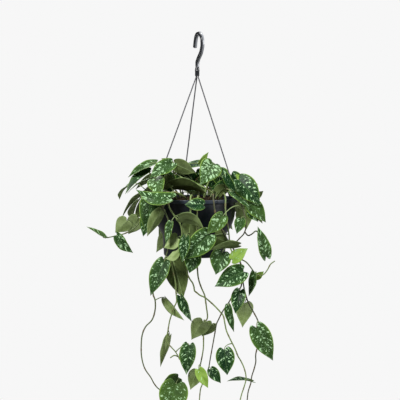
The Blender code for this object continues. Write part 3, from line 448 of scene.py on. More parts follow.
def frames_along(route):
    """The direction, side and top at each point of a route, turning as little as it can."""
    directions = []
    for k in range(len(route)):
        ahead = route[min(k + 1, len(route) - 1)] - route[max(k - 1, 0)]
        directions.append(ahead.normalized())
    side = directions[0].cross(Vector((0, 1, 0.3)))
    frames = []
    for direction in directions:
        side = (side - direction * side.dot(direction)).normalized()
        frames.append((direction, side, direction.cross(side)))
    return frames


def share_between(table, value):
    """Straight-line reading of a table of (place, amount) pairs."""
    for (low, first), (high, last) in zip(table, table[1:]):
        if value <= high:
            return first + (last - first) * (value - low) / (high - low)
    return table[-1][1]


def soil_height(radius):
    share = radius / (BOWL_RADIUS - POT_WALL)
    return -SOIL_EDGE_DEPTH + SOIL_DOME * (1 - share * share)


def stem_foot(hole):
    x, y = hole
    radius = hypot(x - POT_AXIS_X, y)
    return Vector((x, y, RIM_TOP_Z + soil_height(radius) - HOLE_DEPTH))


def stem_mouth(foot):
    return foot + Vector((0, 0, HOLE_DEPTH + 2 * MM))


def shown(name, data):
    """A new object of the scene with this mesh, light or camera."""
    made = bpy.data.objects.new(name, data)
    bpy.context.scene.collection.objects.link(made)
    return made


class Mesh:
    """Points, faces, material numbers and the leaf layers of a piece in the making."""

    def __init__(self):
        self.points, self.faces, self.kinds = [], [], []
        self.plane, self.look, self.across = [], [], []

    def add(self, points, faces, kind, plane=None, look=(0, 0, 0), across=None):
        start = len(self.points)
        self.points += points
        self.faces += [tuple(start + k for k in face) for face in faces]
        self.kinds += [kind] * len(faces)
        self.plane += plane or [(0.0, 0.0)] * len(points)
        self.across += across or [(0.0, 0.0)] * len(points)
        self.look += [(*look, 1.0)] * len(points)

    def made(self, name, materials):
        mesh = bpy.data.meshes.new(name)
        mesh.from_pydata([tuple(point) for point in self.points], [], self.faces)
        for material in materials:
            mesh.materials.append(material)
        mesh.polygons.foreach_set("material_index", self.kinds)
        for title, values in (("plane", self.plane), ("across", self.across)):
            layer = mesh.uv_layers.new(name=title)
            for loop in mesh.loops:
                layer.data[loop.index].uv = values[loop.vertex_index]
        colours = mesh.color_attributes.new("look", "FLOAT_COLOR", "POINT")
        for index, value in enumerate(self.look):
            colours.data[index].color = value
        mesh.shade_smooth()
        return shown(name, mesh)


def skin(rings, sides):
    """The faces over this many rings of points, one ring after another, with a cap at both ends."""
    faces = []
    for ring in range(rings - 1):
        for k in range(sides):
            a = ring * sides + k
            b = ring * sides + (k + 1) % sides
            faces.append((a, b, b + sides, a + sides))
    last = (rings - 1) * sides
    return faces + [tuple(range(sides))[::-1], tuple(range(last, last + sides))]


def tube(route, radii, sides):
    """A closed round tube along the route, with a radius at each of its points."""
    points = []
    for centre, radius, (_, side, top) in zip(route, radii, frames_along(route)):
        for k in range(sides):
            angle = 2 * pi * k / sides
            across = side * (radius * cos(angle))
            points.append(centre + across + top * (radius * sin(angle)))
    return points, skin(len(route), sides)


class Blade:
    """A heart-shaped blade from its base, where the stalk meets it, to its tip."""

    def __init__(self, base, tip, width, facing, turn, fold, arch, slide, look):
        self.base, self.slide, self.look = base, slide, look
        self.width, self.fold, self.arch = width, radians(fold), arch
        self.length = (tip - base).length
        self.along = (tip - base).normalized()
        turn = radians(turn)
        ahead = (facing - self.along * facing.dot(self.along)).normalized()
        self.normal = ahead * cos(turn) + self.along.cross(ahead) * sin(turn)
        self.side = self.along.cross(self.normal)

    def moved(self, distance):
        """The same blade, this far along its slide."""
        twin = copy.copy(self)
        twin.base = self.base + self.slide * distance
        return twin

    def rough_point(self, u, v):
        """The place at u along and v across the frame's own plain blade."""
        lobe = LOBE_REACH * abs(v) ** 1.5 * (1 - u) ** 3
        x = self.length * (u - lobe)
        y = self.width / 2 * v * share_between(HALF_WIDTHS, u)
        rise = abs(y) * sin(self.fold) + self.arch * self.length * sin(pi * x / self.length)
        return self.base + self.along * x + self.side * (y * cos(self.fold)) + self.normal * rise

    def lay(self, u, v, draw):
        """The place and its flat coordinates at u along and v across the fine blade."""
        t = abs(v)
        hand = 1 if v > 0 else 0
        lobe = LOBE_REACH * sin(pi * 0.68 * t) ** 1.25 * (1 - u) ** 3 if t else 0.0
        x = self.length * (u - lobe)
        y = self.width / 2 * v * share_between(HALF_WIDTHS_FINE, u)
        bend = draw["bend"] * self.width * (u**2) * 0.5
        soft = sqrt(y * y + LEAF_FOLD_WIDTH**2) - LEAF_FOLD_WIDTH
        rise = soft * sin(self.fold + draw["fold"])
        rise += self.arch * self.length * sin(pi * x / self.length)
        groove = -LEAF_GROOVE * exp(-((y / LEAF_GROOVE_WIDTH) ** 2)) * (1 - 0.7 * u)
        veins = sin(2 * pi * (LEAF_VEINS * (u - LEAF_VEIN_SLANT * t) + draw["vein"]))
        quilt = LEAF_QUILT * veins * sin(pi * t) * (1 - u)
        edge = t**3 * LEAF_WAVE * sin(2 * pi * (draw["waves"][hand] * u + draw["phase"][hand]))
        curl = -LEAF_CURL * t**4
        rise += groove + quilt + (edge + curl) * sin(pi * min(1.0, u + 0.15))
        place = self.base + self.along * x + self.side * (y * cos(self.fold) + bend)
        return place + self.normal * rise, (x, y)


def add_leaf(mesh, blade, seed):
    """A fine leaf: both faces, the rim between them, and the flat coordinates for its colours."""
    draw = random.Random(seed)
    shape = {
        "bend": draw.uniform(-0.05, 0.05),
        "fold": radians(draw.uniform(3, 9)) if blade.fold < radians(12) else 0.0,
        "vein": draw.random(),
        "waves": (draw.uniform(1.3, 2.2), draw.uniform(1.3, 2.2)),
        "phase": (draw.random(), draw.random()),
    }
    offset = (draw.uniform(-3, 3), draw.uniform(-3, 3))
    upper, silver, under = LOOKS[blade.look]
    tint = draw.uniform(-0.05, 0.05)
    look = (max(0.0, upper + tint), silver * draw.uniform(0.85, 1.15), max(0.0, under + tint))
    columns = [k / LEAF_COLUMNS for k in range(-LEAF_COLUMNS, LEAF_COLUMNS + 1)]
    rows = [(k / LEAF_ROWS) ** 1.12 for k in range(LEAF_ROWS)]
    middle, plane, across = [], [], []
    for u in rows + [1.0]:
        for v in columns if u < 1 else (0.0,):
            place, (x, y) = blade.lay(u, v, shape)
            middle.append(place)
            plane.append((offset[0] + x * 10, offset[1] + y * 10))
            across.append((u, v if u < 1 else 0.0))
    wide = len(columns)
    top = []
    for row in range(LEAF_ROWS - 1):
        for k in range(wide - 1):
            a = row * wide + k
            top.append((a, a + 1, a + 1 + wide, a + wide))
    last = (LEAF_ROWS - 1) * wide
    tip = LEAF_ROWS * wide
    top += [(last + k, last + k + 1, tip) for k in range(wide - 1)]
    lifts = [Vector((0, 0, 0)) for _ in middle]
    for face in top:
        a, b, c = (middle[k] for k in face[:3])
        lean = (b - a).cross(c - a)
        for k in face:
            lifts[k] += lean
    half = len(middle)
    lifts = [lift.normalized() * (LEAF_THICKNESS / 2) for lift in lifts]
    points = [place + lift for place, lift in zip(middle, lifts)]
    points += [place - lift for place, lift in zip(middle, lifts)]
    mesh.add(points, top, UPPER, plane * 2, look, across * 2)
    start = len(mesh.points) - 2 * half
    rim = list(range(wide)) + [row * wide + wide - 1 for row in range(1, LEAF_ROWS)] + [tip]
    rim += [row * wide for row in range(LEAF_ROWS - 1, 0, -1)]
    below = [tuple(start + half + k for k in face[::-1]) for face in top]
    edge = []
    for a, b in zip(rim, rim[1:] + rim[:1]):
        edge.append((start + b, start + a, start + a + half, start + b + half))
    mesh.faces += below + edge
    mesh.kinds += [UNDER] * len(below) + [EDGE] * len(edge)


def stalk_route(blade, stems):
    """The stalk from the nearest stem, rising a little, into the base of its blade."""
    aim = blade.base - blade.along * (8 * MM)
    start = min((point for stem in stems for point in stem), key=lambda point: (point - aim).length)
    span = (blade.base - start).length
    lift = Vector((0, 0, 0.18 * span))
    leave = start.lerp(blade.base, 0.35) + lift
    arrive = blade.base - blade.along * (0.3 * span) + lift * 0.2
    route = []
    for k in range(STALK_STEPS + 1):
        t = k / STALK_STEPS
        near = start * (1 - t) ** 3 + leave * (3 * t * (1 - t) ** 2)
        route.append(near + arrive * (3 * t * t * (1 - t)) + blade.base * t**3)
    return route


def front_vines():
    """The drawn vines: how green each is, its foot, its stems' knots and its blades."""
    vines = {}
    for name, (hole, green, *plans) in VINES.items():
        foot = stem_foot(tuple(value * MM for value in hole))
        stems = [[front(*knot) for knot in knots] for knots in plans]
        stems[0].insert(0, stem_mouth(foot))
        blades = []
        for row in BLADES[name]:
            base, tip = front(*row[0:3]), front(*row[3:6])
            slide = (front(row[0], row[1], row[2] + 100) - base).normalized()
            width, *bends = row[6:10]
            look = row[10] if len(row) > 10 else "splashed"
            blades.append(Blade(base, tip, width * MM, TO_VIEWER, *bends, slide, look))
        vines[name] = (green, foot, stems, blades)
    return vines


def back_vine(degrees, hang, count, draw):
    """One vine round the back: up out of the soil, over the rim and down, with blades either side."""
    angle = radians(degrees)
    outward = Vector((cos(angle), sin(angle), 0))
    across = Vector((-sin(angle), cos(angle), 0))
    rim = Vector((POT_AXIS_X, 0, RIM_TOP_Z))
    foot = stem_foot((POT_AXIS_X + BACK_HOLE_RADIUS * outward.x, BACK_HOLE_RADIUS * outward.y))
    up = Vector((0, 0, 1))
    knots = [stem_mouth(foot)] + [rim + outward * out + up * rise for out, rise in BACK_CREST]
    sway = draw.uniform(-8, 8) * MM
    for share in (0.35, 0.7, 1):
        knots.append(rim + outward * BACK_HANG_RADIUS + across * (sway * share) - up * (hang * share))
    stem = [foot, *smooth(knots, CAD_STEM_STEP)]
    blades = []
    for number in range(count):
        share = 0.25 + 0.75 * (number + 0.5) / count
        node = stem[min(len(stem) - 1, round(share * (len(stem) - 1)))]
        hand = 1 if number % 2 else -1
        length = draw.uniform(54, 72) * MM
        crown = max(0.0, 1 - number / (0.55 * count))
        base = node + outward * BACK_STANDS_OUT + up * (crown * BACK_CROWN_RISE)
        base += across * (hand * draw.uniform(12, 20) * MM)
        aim = outward * (0.5 + 0.25 * crown) - up * (0.75 - 0.5 * crown)
        aim += across * (hand * draw.uniform(0.25, 0.6))
        tip = base + aim.normalized() * length
        facing = (outward + up * (0.5 + crown)).normalized()
        width = length * draw.uniform(0.56, 0.66)
        turn, fold, arch = draw.uniform(-18, 18), draw.uniform(3, 12), draw.uniform(0.04, 0.1)
        blades.append(Blade(base, tip, width, facing, turn, fold, arch, outward, "splashed"))
    return BACK_GREEN, foot, [knots], blades


def back_vines():
    draw = random.Random(BACK_SEED)
    return {
        f"vine_back_{number}": back_vine(*plan, draw) for number, plan in enumerate(BACK_VINES, 1)
    }


def node_tree(name):
    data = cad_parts[name].data
    points = [vertex.co.copy() for vertex in data.vertices]
    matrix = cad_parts[name].matrix_world
    points = [matrix @ point for point in points]
    return BVHTree.FromPolygons(points, [tuple(polygon.vertices) for polygon in data.polygons])


def placed(blade, surface):
    """The blade moved to where the frame's own blade lies along its slide, or None where it has none."""
    probes = ((0.18, -1), (0.18, 1), (0.42, 1), (0.42, -1), (0.7, 0), (1, 0))
    best, place = PLACE_TOLERANCE, None
    distances = [0.0] + [sign * SLIDE_STEP * k for k in range(1, SLIDE_STEPS) for sign in (1, -1)]
    for distance in distances:
        moved = blade.moved(distance)
        apart = max(surface.find_nearest(moved.rough_point(*probe))[3] for probe in probes)
        if apart < best:
            best, place = apart, moved
    return place


def add_stem(mesh, knots, foot, look):
    """A fine round stem with swollen joints. One that forks off another has no foot and is thinner."""
    route = smooth(knots, STEM_STEP)
    start = STEM_RADIUS * FORK_SHARE
    if foot:
        route.insert(0, foot)
        start = STEM_RADIUS
    last = len(route) - 1
    radii, rings = [], []
    for k in range(len(route)):
        joint = max(0.0, cos(2 * pi * k * STEM_STEP / JOINT_SPACING)) ** 12
        radius = start + (STEM_TIP_RADIUS - start) * (k / last) ** 1.5
        radii.append(radius * (1 + JOINT_SWELL * joint))
        rings += [(joint, 0.0)] * STEM_SIDES
    points, faces = tube(route, radii, STEM_SIDES)
    mesh.add(points, faces, STEM, look=look, across=rings)


def add_stalk(mesh, blade, stems, look):
    """A leaf stalk, thickest where it leaves its stem."""
    radii = []
    for k in range(STALK_STEPS + 1):
        t = k / STALK_STEPS
        swell = STALK_SWELL * (1 - t) ** 6
        radii.append(STALK_RADIUS + (STALK_END_RADIUS - STALK_RADIUS) * t + swell)
    points, faces = tube(stalk_route(blade, stems), radii, STALK_SIDES)
    mesh.add(points, faces, STALK, look=look)


class Nodes:
    """Short ways to build a material's node tree."""

    def __init__(self, name):
        self.material = bpy.data.materials.new(name)
        self.material.use_nodes = True
        self.tree = self.material.node_tree
        self.shader = self.tree.nodes["Principled BSDF"]

    def feed(self, node, inputs):
        for key, value in inputs:
            socket = node.inputs[key]
            if isinstance(value, bpy.types.NodeSocket):
                self.tree.links.new(value, socket)
            elif isinstance(value, tuple) and socket.type == "RGBA":
                socket.default_value = (*value, 1)
            else:
                socket.default_value = value

    def node(self, kind, inputs, **settings):
        """The outputs of a new node of this kind, once its settings and inputs are in."""
        made = self.tree.nodes.new(kind)
        for key, value in settings.items():
            setattr(made, key, value)
        self.feed(made, inputs.items())
        return made.outputs

    def math(self, operation, *values):
        return self.node("ShaderNodeMath", dict(enumerate(values)), operation=operation)[0]

    def times(self, a, b):
        return self.math("MULTIPLY", a, b)

    def scaled(self, a, b, c):
        """a times b, plus c."""
        return self.math("MULTIPLY_ADD", a, b, c)

    def less(self, a, b):
        return self.math("SUBTRACT", a, b)

    def ramp(self, value, low, high):
        """0 below low and 1 above high, smooth between."""
        reads = {"Value": value, "From Min": low, "From Max": high}
        return self.node("ShaderNodeMapRange", reads, interpolation_type="SMOOTHSTEP")["Result"]

    def mix(self, share, a, b):
        return self.node("ShaderNodeMix", {0: share, 6: a, 7: b}, data_type="RGBA")[2]

    def joined(self, *values):
        return self.node("ShaderNodeCombineXYZ", dict(enumerate(values)))[0]

    def place(self):
        return self.node("ShaderNodeTexCoord", {})["Object"]

    def noise(self, vector, scale, detail=2.0, roughness=0.5):
        reads = {"Vector": vector, "Scale": scale, "Detail": detail, "Roughness": roughness}
        return self.node("ShaderNodeTexNoise", reads)[0]

    def cells(self, vector, scale, randomness=1.0):
        reads = {"Vector": vector, "Scale": scale, "Randomness": randomness}
        return self.node("ShaderNodeTexVoronoi", reads, feature="F1")

    def bump(self, height, distance, strength):
        reads = {"Height": height, "Distance": distance, "Strength": strength}
        return self.node("ShaderNodeBump", reads)[0]

    def layer(self, name):
        read = self.node("ShaderNodeUVMap", {}, uv_map=name)[0]
        return self.node("ShaderNodeSeparateXYZ", {0: read})[:2]

    def look(self):
        read = self.node("ShaderNodeVertexColor", {}, layer_name="look")["Color"]
        return self.node("ShaderNodeSeparateColor", {0: read})[:3]

    def finish(self, colour, roughness, **more):
        reads = {"Base_Color": colour, "Roughness": roughness, **more}
        self.feed(self.shader, [(key.replace("_", " "), value) for key, value in reads.items()])
        return self.material


def leaf_coordinates(n):
    """Flat coordinates of a leaf, the shares along and across it, and a number that parts its halves."""
    x, y = n.layer("plane")
    u, v = n.layer("across")
    return x, y, u, n.math("ABSOLUTE", v), n.times(n.math("SIGN", v), 4.7)


def upper_leaf():
    """The upper side: deep green with silver-green splashes, a green midrib and a thin pale edge."""
    n = Nodes("leaf_upper")
    x, y, _, t, hand = leaf_coordinates(n)
    upper, silver, _ = n.look()
    spread = n.joined(n.less(x, n.times(t, 0.12)), n.times(y, 0.72), hand)
    warp = n.node("ShaderNodeTexNoise", {"Vector": spread, "Scale": 22.0})["Color"]
    warped = {0: warp, 1: (0.05, 0.05, 0.0), 2: spread}
    shift = n.node("ShaderNodeVectorMath", warped, operation="MULTIPLY_ADD")[0]
    large = n.cells(shift, 21.0, 0.95)
    own = n.node("ShaderNodeSeparateColor", {0: large["Color"]})[0]
    size = n.scaled(own, 0.42, n.scaled(silver, 0.34, -0.14))
    spot = n.ramp(n.less(size, large["Distance"]), -0.02, 0.07)
    size = n.scaled(silver, 0.16, 0.14)
    speck = n.ramp(n.less(size, n.cells(shift, 46.0)["Distance"]), -0.03, 0.05)
    marks = n.math("MAXIMUM", spot, n.times(speck, 0.55))
    inside = n.ramp(n.less(1.0, t), 0.06, 0.16)
    marks = n.times(n.times(marks, inside), n.ramp(t, 0.05, 0.12))
    deep = n.mix(upper, (0.003, 0.018, 0.008), (0.16, 0.28, 0.04))
    light = n.mix(upper, (0.006, 0.035, 0.01), (0.24, 0.38, 0.07))
    base = n.mix(n.ramp(n.noise(spread, 6.0, 3.0), 0.35, 0.68), deep, light)
    warm = n.mix(upper, (0.035, 0.1, 0.012), (0.26, 0.4, 0.07))
    base = n.mix(n.times(n.ramp(t, 0.4, 0.95), 0.42), base, warm)
    rib = n.less(1.0, n.ramp(t, 0.015, 0.06))
    base = n.mix(n.times(rib, 0.35), base, (0.1, 0.19, 0.06))
    silvered = n.mix(n.noise(spread, 30.0), (0.13, 0.3, 0.12), (0.52, 0.72, 0.43))
    base = n.mix(n.times(marks, 0.92), base, silvered)
    base = n.mix(n.times(n.ramp(t, 0.9, 0.965), 0.85), base, (0.19, 0.31, 0.055))
    relief = n.scaled(marks, 0.3, n.times(n.noise(spread, 160.0), 0.35))
    rough = n.scaled(marks, -0.06, 0.42)
    shine = {"Specular_IOR_Level": 0.06, "Coat_Weight": 0.02, "Coat_Roughness": 0.22}
    return n.finish(base, rough, Normal=n.bump(relief, 0.25 * MM, 0.6), **shine)


def under_leaf():
    """The underside: matt, from dark olive to pale grey-green, with raised light ribs."""
    n = Nodes("leaf_under")
    x, y, u, t, hand = leaf_coordinates(n)
    under = n.look()[2]
    spread = n.joined(x, y, hand)
    deep = n.mix(under, (0.014, 0.026, 0.003), (0.26, 0.36, 0.11))
    light = n.mix(under, (0.055, 0.085, 0.012), (0.47, 0.6, 0.27))
    clouds = n.ramp(n.noise(spread, 5.0, 3.0), 0.34, 0.66)
    base = n.mix(n.math("MAXIMUM", clouds, n.times(n.ramp(t, 0.55, 1.0), 0.8)), deep, light)
    rib = n.less(1.0, n.ramp(t, 0.012, 0.05))
    base = n.mix(n.times(rib, 0.5), base, (0.24, 0.33, 0.15))
    slant = n.times(t, LEAF_VEIN_SLANT)
    wave = n.math("PINGPONG", n.times(n.less(u, slant), LEAF_VEINS), 0.5)
    inside = n.ramp(n.less(1.0, t), 0.05, 0.4)
    vein = n.times(n.less(1.0, n.ramp(wave, 0.02, 0.1)), inside)
    base = n.mix(n.times(vein, 0.3), base, n.mix(under, (0.09, 0.13, 0.03), (0.42, 0.54, 0.24)))
    base = n.mix(n.times(n.ramp(t, 0.92, 0.985), 0.6), base, (0.24, 0.34, 0.12))
    relief = n.scaled(vein, 0.5, n.noise(spread, 120.0))
    return n.finish(base, 0.6, Normal=n.bump(relief, 0.2 * MM, 0.5), Specular_IOR_Level=0.15)


def leaf_edge():
    """The thin rim of a leaf, a little lighter than its faces."""
    n = Nodes("leaf_edge")
    colour = n.mix(n.look()[0], (0.1, 0.17, 0.045), (0.24, 0.36, 0.1))
    blotch = n.times(n.noise(n.place(), 300.0), 0.5)
    return n.finish(n.mix(blotch, colour, (0.24, 0.34, 0.12)), 0.5)


def stem_skin(name, dull, fresh):
    """Stems and stalks: streaked green, dulled by brown and grey bark where they are old."""
    n = Nodes(name)
    place = n.place()
    green = n.look()[0]
    streak = n.node("ShaderNodeMapping", {"Vector": place, "Scale": (1, 1, 0.2)})[0]
    fibres = n.noise(streak, 900.0, 3.0)
    patches = n.ramp(n.noise(place, 60.0), 0.4, 0.62)
    barked = n.times(patches, n.scaled(green, -0.4, 0.5))
    base = n.mix(barked, n.mix(green, dull, fresh), (0.09, 0.07, 0.04))
    thread = n.mix(green, (0.07, 0.075, 0.05), (0.24, 0.32, 0.12))
    base = n.mix(n.times(fibres, 0.4), base, thread)
    base = n.mix(n.times(n.layer("across")[0], 0.7), base, (0.13, 0.07, 0.03))
    return n.finish(base, 0.5, Normal=n.bump(fibres, 0.2 * MM, 0.6), Specular_IOR_Level=0.3)


def pot_plastic():
    """Dark blue-black moulded plastic: a satin grain, scuffs, a little dust, and a painted highlight that
    makes the rim band lighter grey.
    """
    n = Nodes("pot_plastic")
    place = n.place()
    dust = n.ramp(n.noise(place, 38.0, 4.0, 0.6), 0.5, 0.8)
    base = n.mix(n.times(dust, 0.3), (0.003, 0.005, 0.008), (0.012, 0.017, 0.022))
    height = n.node("ShaderNodeSeparateXYZ", {0: place})[2]
    # Painted highlight: the rim band, down to its lower edge, is painted a lighter grey-blue for the light
    # the rim lip catches.
    painted_rim_highlight = n.ramp(height, RIM_TOP_Z - RIM_BAND_DEPTH - 1 * MM, RIM_TOP_Z - RIM_BAND_DEPTH)
    base = n.mix(painted_rim_highlight, base, (0.022, 0.03, 0.042))
    relief = n.scaled(n.noise(place, 220.0, 3.0), 0.4, n.noise(place, 1500.0))
    rough = n.scaled(dust, 0.16, 0.3)
    shine = {"Specular_IOR_Level": 0.27, "Coat_Weight": 0.05, "Coat_Roughness": 0.15}
    return n.finish(base, rough, Normal=n.bump(relief, 0.06 * MM, 0.5), **shine)


def hook_plastic():
    """Near-black moulded plastic with light patches of wear, and a painted highlight of lighter grey on
    the outer faces of its flanges.
    """
    n = Nodes("hook_plastic")
    place = n.place()
    grain = n.noise(place, 900.0, 3.0)
    wear = n.ramp(n.noise(place, 90.0, 3.0), 0.52, 0.75)
    base = n.mix(n.times(wear, 0.4), (0.012, 0.014, 0.017), (0.04, 0.043, 0.049))
    side, face = n.layer("across")
    # Painted highlight: the outer faces of the flanges are painted lighter grey, most towards one edge of
    # the section, for the light they catch.
    outer = n.ramp(n.math("ABSOLUTE", face), 0.8, 0.93)
    base = n.mix(n.times(outer, n.ramp(side, -0.8, 0.5)), base, (0.26, 0.27, 0.29))
    rough = n.scaled(grain, 0.12, 0.2)
    shine = {"Specular_IOR_Level": 0.5, "Coat_Weight": 0.1, "Coat_Roughness": 0.2}
    return n.finish(base, rough, Normal=n.bump(grain, 0.08 * MM, 0.5), **shine)


def strand_plastic():
    """Smooth mid-grey plastic of the thin strands."""
    n = Nodes("strand_plastic")
    grain = n.noise(n.place(), 700.0, 3.0)
    base = n.mix(grain, (0.045, 0.046, 0.05), (0.1, 0.102, 0.11))
    rough = n.scaled(grain, 0.15, 0.3)
    return n.finish(base, rough, Normal=n.bump(grain, 0.05 * MM, 0.5))


def soil_matter():
    """Potting soil: dark crumbs, with brown fibre and pinkish bark."""
    n = Nodes("soil_matter")
    place = n.place()
    crumbs = n.noise(place, 260.0, 4.0, 0.65)
    bark = n.ramp(n.noise(place, 120.0, 3.0), 0.55, 0.66)
    base = n.mix(n.ramp(crumbs, 0.35, 0.7), (0.006, 0.005, 0.002), (0.05, 0.034, 0.018))
    base = n.mix(n.times(bark, 0.6), base, (0.13, 0.08, 0.055))
    return n.finish(base, 0.92, Normal=n.bump(crumbs, 1.2 * MM, 0.9), Specular_IOR_Level=0.06)


def turned(profile, sides, material, name):
    """A closed solid of revolution about the pot's axis, from (radius, height) points."""
    points, rings, faces = [], [], []
    for radius, height in profile:
        count = 1 if radius == 0 else sides
        rings.append(range(len(points), len(points) + count))
        for k in range(count):
            angle = 2 * pi * k / sides
            x, y = POT_AXIS_X + radius * cos(angle), radius * sin(angle)
            points.append(Vector((x, y, RIM_TOP_Z + height)))
    for upper, lower in zip(rings, rings[1:]):
        for k in range(sides):
            after = (k + 1) % sides
            if len(upper) == 1:
                faces.append((upper[0], lower[k], lower[after]))
            elif len(lower) == 1:
                faces.append((upper[k], lower[0], upper[after]))
            else:
                faces.append((upper[k], lower[k], lower[after], upper[after]))
    mesh = Mesh()
    mesh.add(points, faces, 0)
    return mesh.made(name, [material])


def bowl_arc(inset, steps, upwards=False):
    centre = BOWL_RADIUS - BOWL_ARC
    arc = BOWL_ARC - inset
    end = asin((FOOT_TOP_DEPTH - BOWL_STRAIGHT) / arc)
    found = []
    for k in range(steps + 1):
        angle = end * k / steps
        found.append((centre + arc * cos(angle), -BOWL_STRAIGHT - arc * sin(angle)))
    return found[::-1] if upwards else found


def rounded(profile, radius):
    """The profile with each of its corners rounded off where there is room."""
    found = [profile[0]]
    for before, corner, after in zip(profile, profile[1:], profile[2:]):
        a, b, c = Vector(before), Vector(corner), Vector(after)
        room = min(radius, (a - b).length * 0.45, (c - b).length * 0.45)
        start, end = b + (a - b).normalized() * room, b + (c - b).normalized() * room
        if (b - a).normalized().dot((c - b).normalized()) > 0.97:
            found.append(corner)
            continue
        for k in range(CORNER_STEPS + 1):
            t = k / CORNER_STEPS
            place = start.lerp(b, t).lerp(b.lerp(end, t), t)
            found.append(tuple(place))
    return found + [profile[-1]]


def make_pot(material):
    inside = BOWL_RADIUS - POT_WALL
    floor = -POT_HEIGHT + FOOT_RECESS + POT_WALL
    recess = FOOT_RADIUS - 3 * FOOT_CORNER
    corner = []
    for angle in range(0, 91, 15):
        back, rise = 1 - cos(radians(angle)), 1 - sin(radians(angle))
        corner.append((FOOT_RADIUS - FOOT_CORNER * back, -POT_HEIGHT + FOOT_CORNER * rise))
    rim = [
        (inside, -1.2 * MM), (inside + 0.2 * MM, 0), (RIM_RADIUS - 0.1 * MM, 0),
        (RIM_RADIUS, -1.6 * MM), (RIM_RADIUS, -RIM_BAND_DEPTH), (BOWL_RADIUS, -RIM_BAND_DEPTH),
        (BOWL_RADIUS, -RIM_BAND_DEPTH - 3 * MM),
    ]
    inner = -POT_HEIGHT + FOOT_RECESS
    foot = [(recess + FOOT_RECESS, -POT_HEIGHT), (recess, inner), (0, inner)]
    profile = [
        (0, floor),
        (FOOT_RADIUS - POT_WALL, floor),
        *bowl_arc(POT_WALL, 24, upwards=True),
        *rounded(rim, 0.9 * MM),
        *bowl_arc(0, 30),
        *corner,
        *rounded(foot, 1 * MM),
    ]
    pot = turned(profile, 128, material, "pot_shell")
    pot.data.set_sharp_from_angle(angle=radians(40))
    return pot


def make_soil(material):
    """The soil's body with its rough top, and the loose crumbs on it."""
    draw = random.Random(SOIL_SEED)
    inset = POT_WALL + GAP
    edge = BOWL_RADIUS - inset
    bottom = -POT_HEIGHT + FOOT_RECESS + POT_WALL + GAP
    shares = [k / 30 for k in range(31)]
    profile = [(edge * share, soil_height(edge * share)) for share in shares]
    profile += [*bowl_arc(inset, 8), (FOOT_RADIUS - inset, bottom), (0, bottom)]
    body = turned(profile, 96, material, "soil_body")
    for vertex in body.data.vertices:
        radius = hypot(vertex.co.x - POT_AXIS_X, vertex.co.y)
        if vertex.co.z > RIM_TOP_Z - 12 * MM and radius < edge - 2 * MM:
            vertex.co.z += draw.uniform(-1.1, 0.5) * MM
    crumbs = Mesh()
    for _ in range(SOIL_CRUMBS):
        radius = edge * sqrt(draw.random()) * 0.97
        angle = draw.uniform(0, 2 * pi)
        size = draw.uniform(*CRUMB_SIZES) * MM
        height = RIM_TOP_Z + soil_height(radius)
        centre = Vector((POT_AXIS_X + radius * cos(angle), radius * sin(angle), height))
        if size + radius > edge:
            continue
        turn = Matrix.Rotation(draw.uniform(0, 6), 3, "Z") @ Matrix.Rotation(draw.uniform(0, 6), 3, "X")
        long = draw.uniform(1.0, 2.0)
        points = []
        for x, y, z in CRUMB_POINTS:
            rough = [draw.uniform(0.7, 1.2) for _ in range(3)]
            place = Vector((x * long * rough[0] * size, y * rough[1] * size, z * rough[2] * size * 0.7))
            points.append(centre + turn @ place)
        crumbs.add(points, CRUMB_FACES, 0)
    grains = crumbs.made("soil_crumbs", [material])
    grains.data.shade_flat()
    return body, grains


def hook_section():
    """The hook's I-section round its outline, with its outer corners rounded off."""
    wide, deep = HOOK_FLANGE / 2, HOOK_DEPTH / 2
    web, flange = HOOK_WEB / 2, deep - HOOK_FLANGE_THICKNESS
    quarter = [(web, flange - 0.4 * MM), (web + 0.4 * MM, flange), (wide - 0.5 * MM, flange)]
    quarter += [(wide, flange + 0.5 * MM), (wide, deep - 0.6 * MM)]
    quarter += [(wide - 0.2 * MM, deep - 0.2 * MM), (wide - 0.6 * MM, deep)]
    outline = quarter + [(-x, y) for x, y in reversed(quarter)]
    return outline + [(-x, -y) for x, y in outline]


def make_hook(material):
    """The hook as one fine sweep along the frame's own route, and its hub with a collar."""
    top = HOOK_DEPTH / 2
    knots = [Vector((-HOOK_HALF_WIDTH * 1.18, 0, -26 * MM))]
    for angle in HOOK_ARCH_ANGLES:
        turn = radians(angle)
        height = top - HOOK_ARCH_HEIGHT * (1 - sin(turn))
        knots.append(Vector((HOOK_HALF_WIDTH * cos(turn), 0, height)))
    knots += [Vector((x * MM, 0, z * MM)) for x, z in HOOK_SHANK]
    turn = Matrix.Rotation(HOOK_TURN, 3, "Z")
    coarse = [turn @ knot for knot in smooth(knots, HOOK_FRAME_STEP)]
    coarse.append(Vector((HUB_CENTRE.x, HUB_CENTRE.y, HUB_TOP_Z - 8 * MM)))
    route = smooth(coarse, HOOK_STEP)
    plane = turn @ Vector((0, 1, 0))
    section = hook_section()
    points = []
    for k, centre in enumerate(route):
        ahead = route[min(k + 1, len(route) - 1)] - route[max(k - 1, 0)]
        across = ahead.cross(plane).normalized()
        shrink = 0.86 if k == 0 else 1.0
        points += [centre + (plane * x + across * y) * shrink for x, y in section]
    mesh = Mesh()
    sides = [(x / HOOK_FLANGE * 2, y / HOOK_DEPTH * 2) for x, y in section] * len(route)
    mesh.add(points, skin(len(route), len(section)), 0, across=sides)
    hub = [Vector((HUB_CENTRE.x, HUB_CENTRE.y, HUB_TOP_Z - depth * MM)) for depth, _ in HUB_RINGS]
    mesh.add(*tube(hub, [HUB_RADIUS * share for _, share in HUB_RINGS], 48), 0)
    made = mesh.made("hook_fine", [material])
    made.data.set_sharp_from_angle(angle=radians(50))
    return made


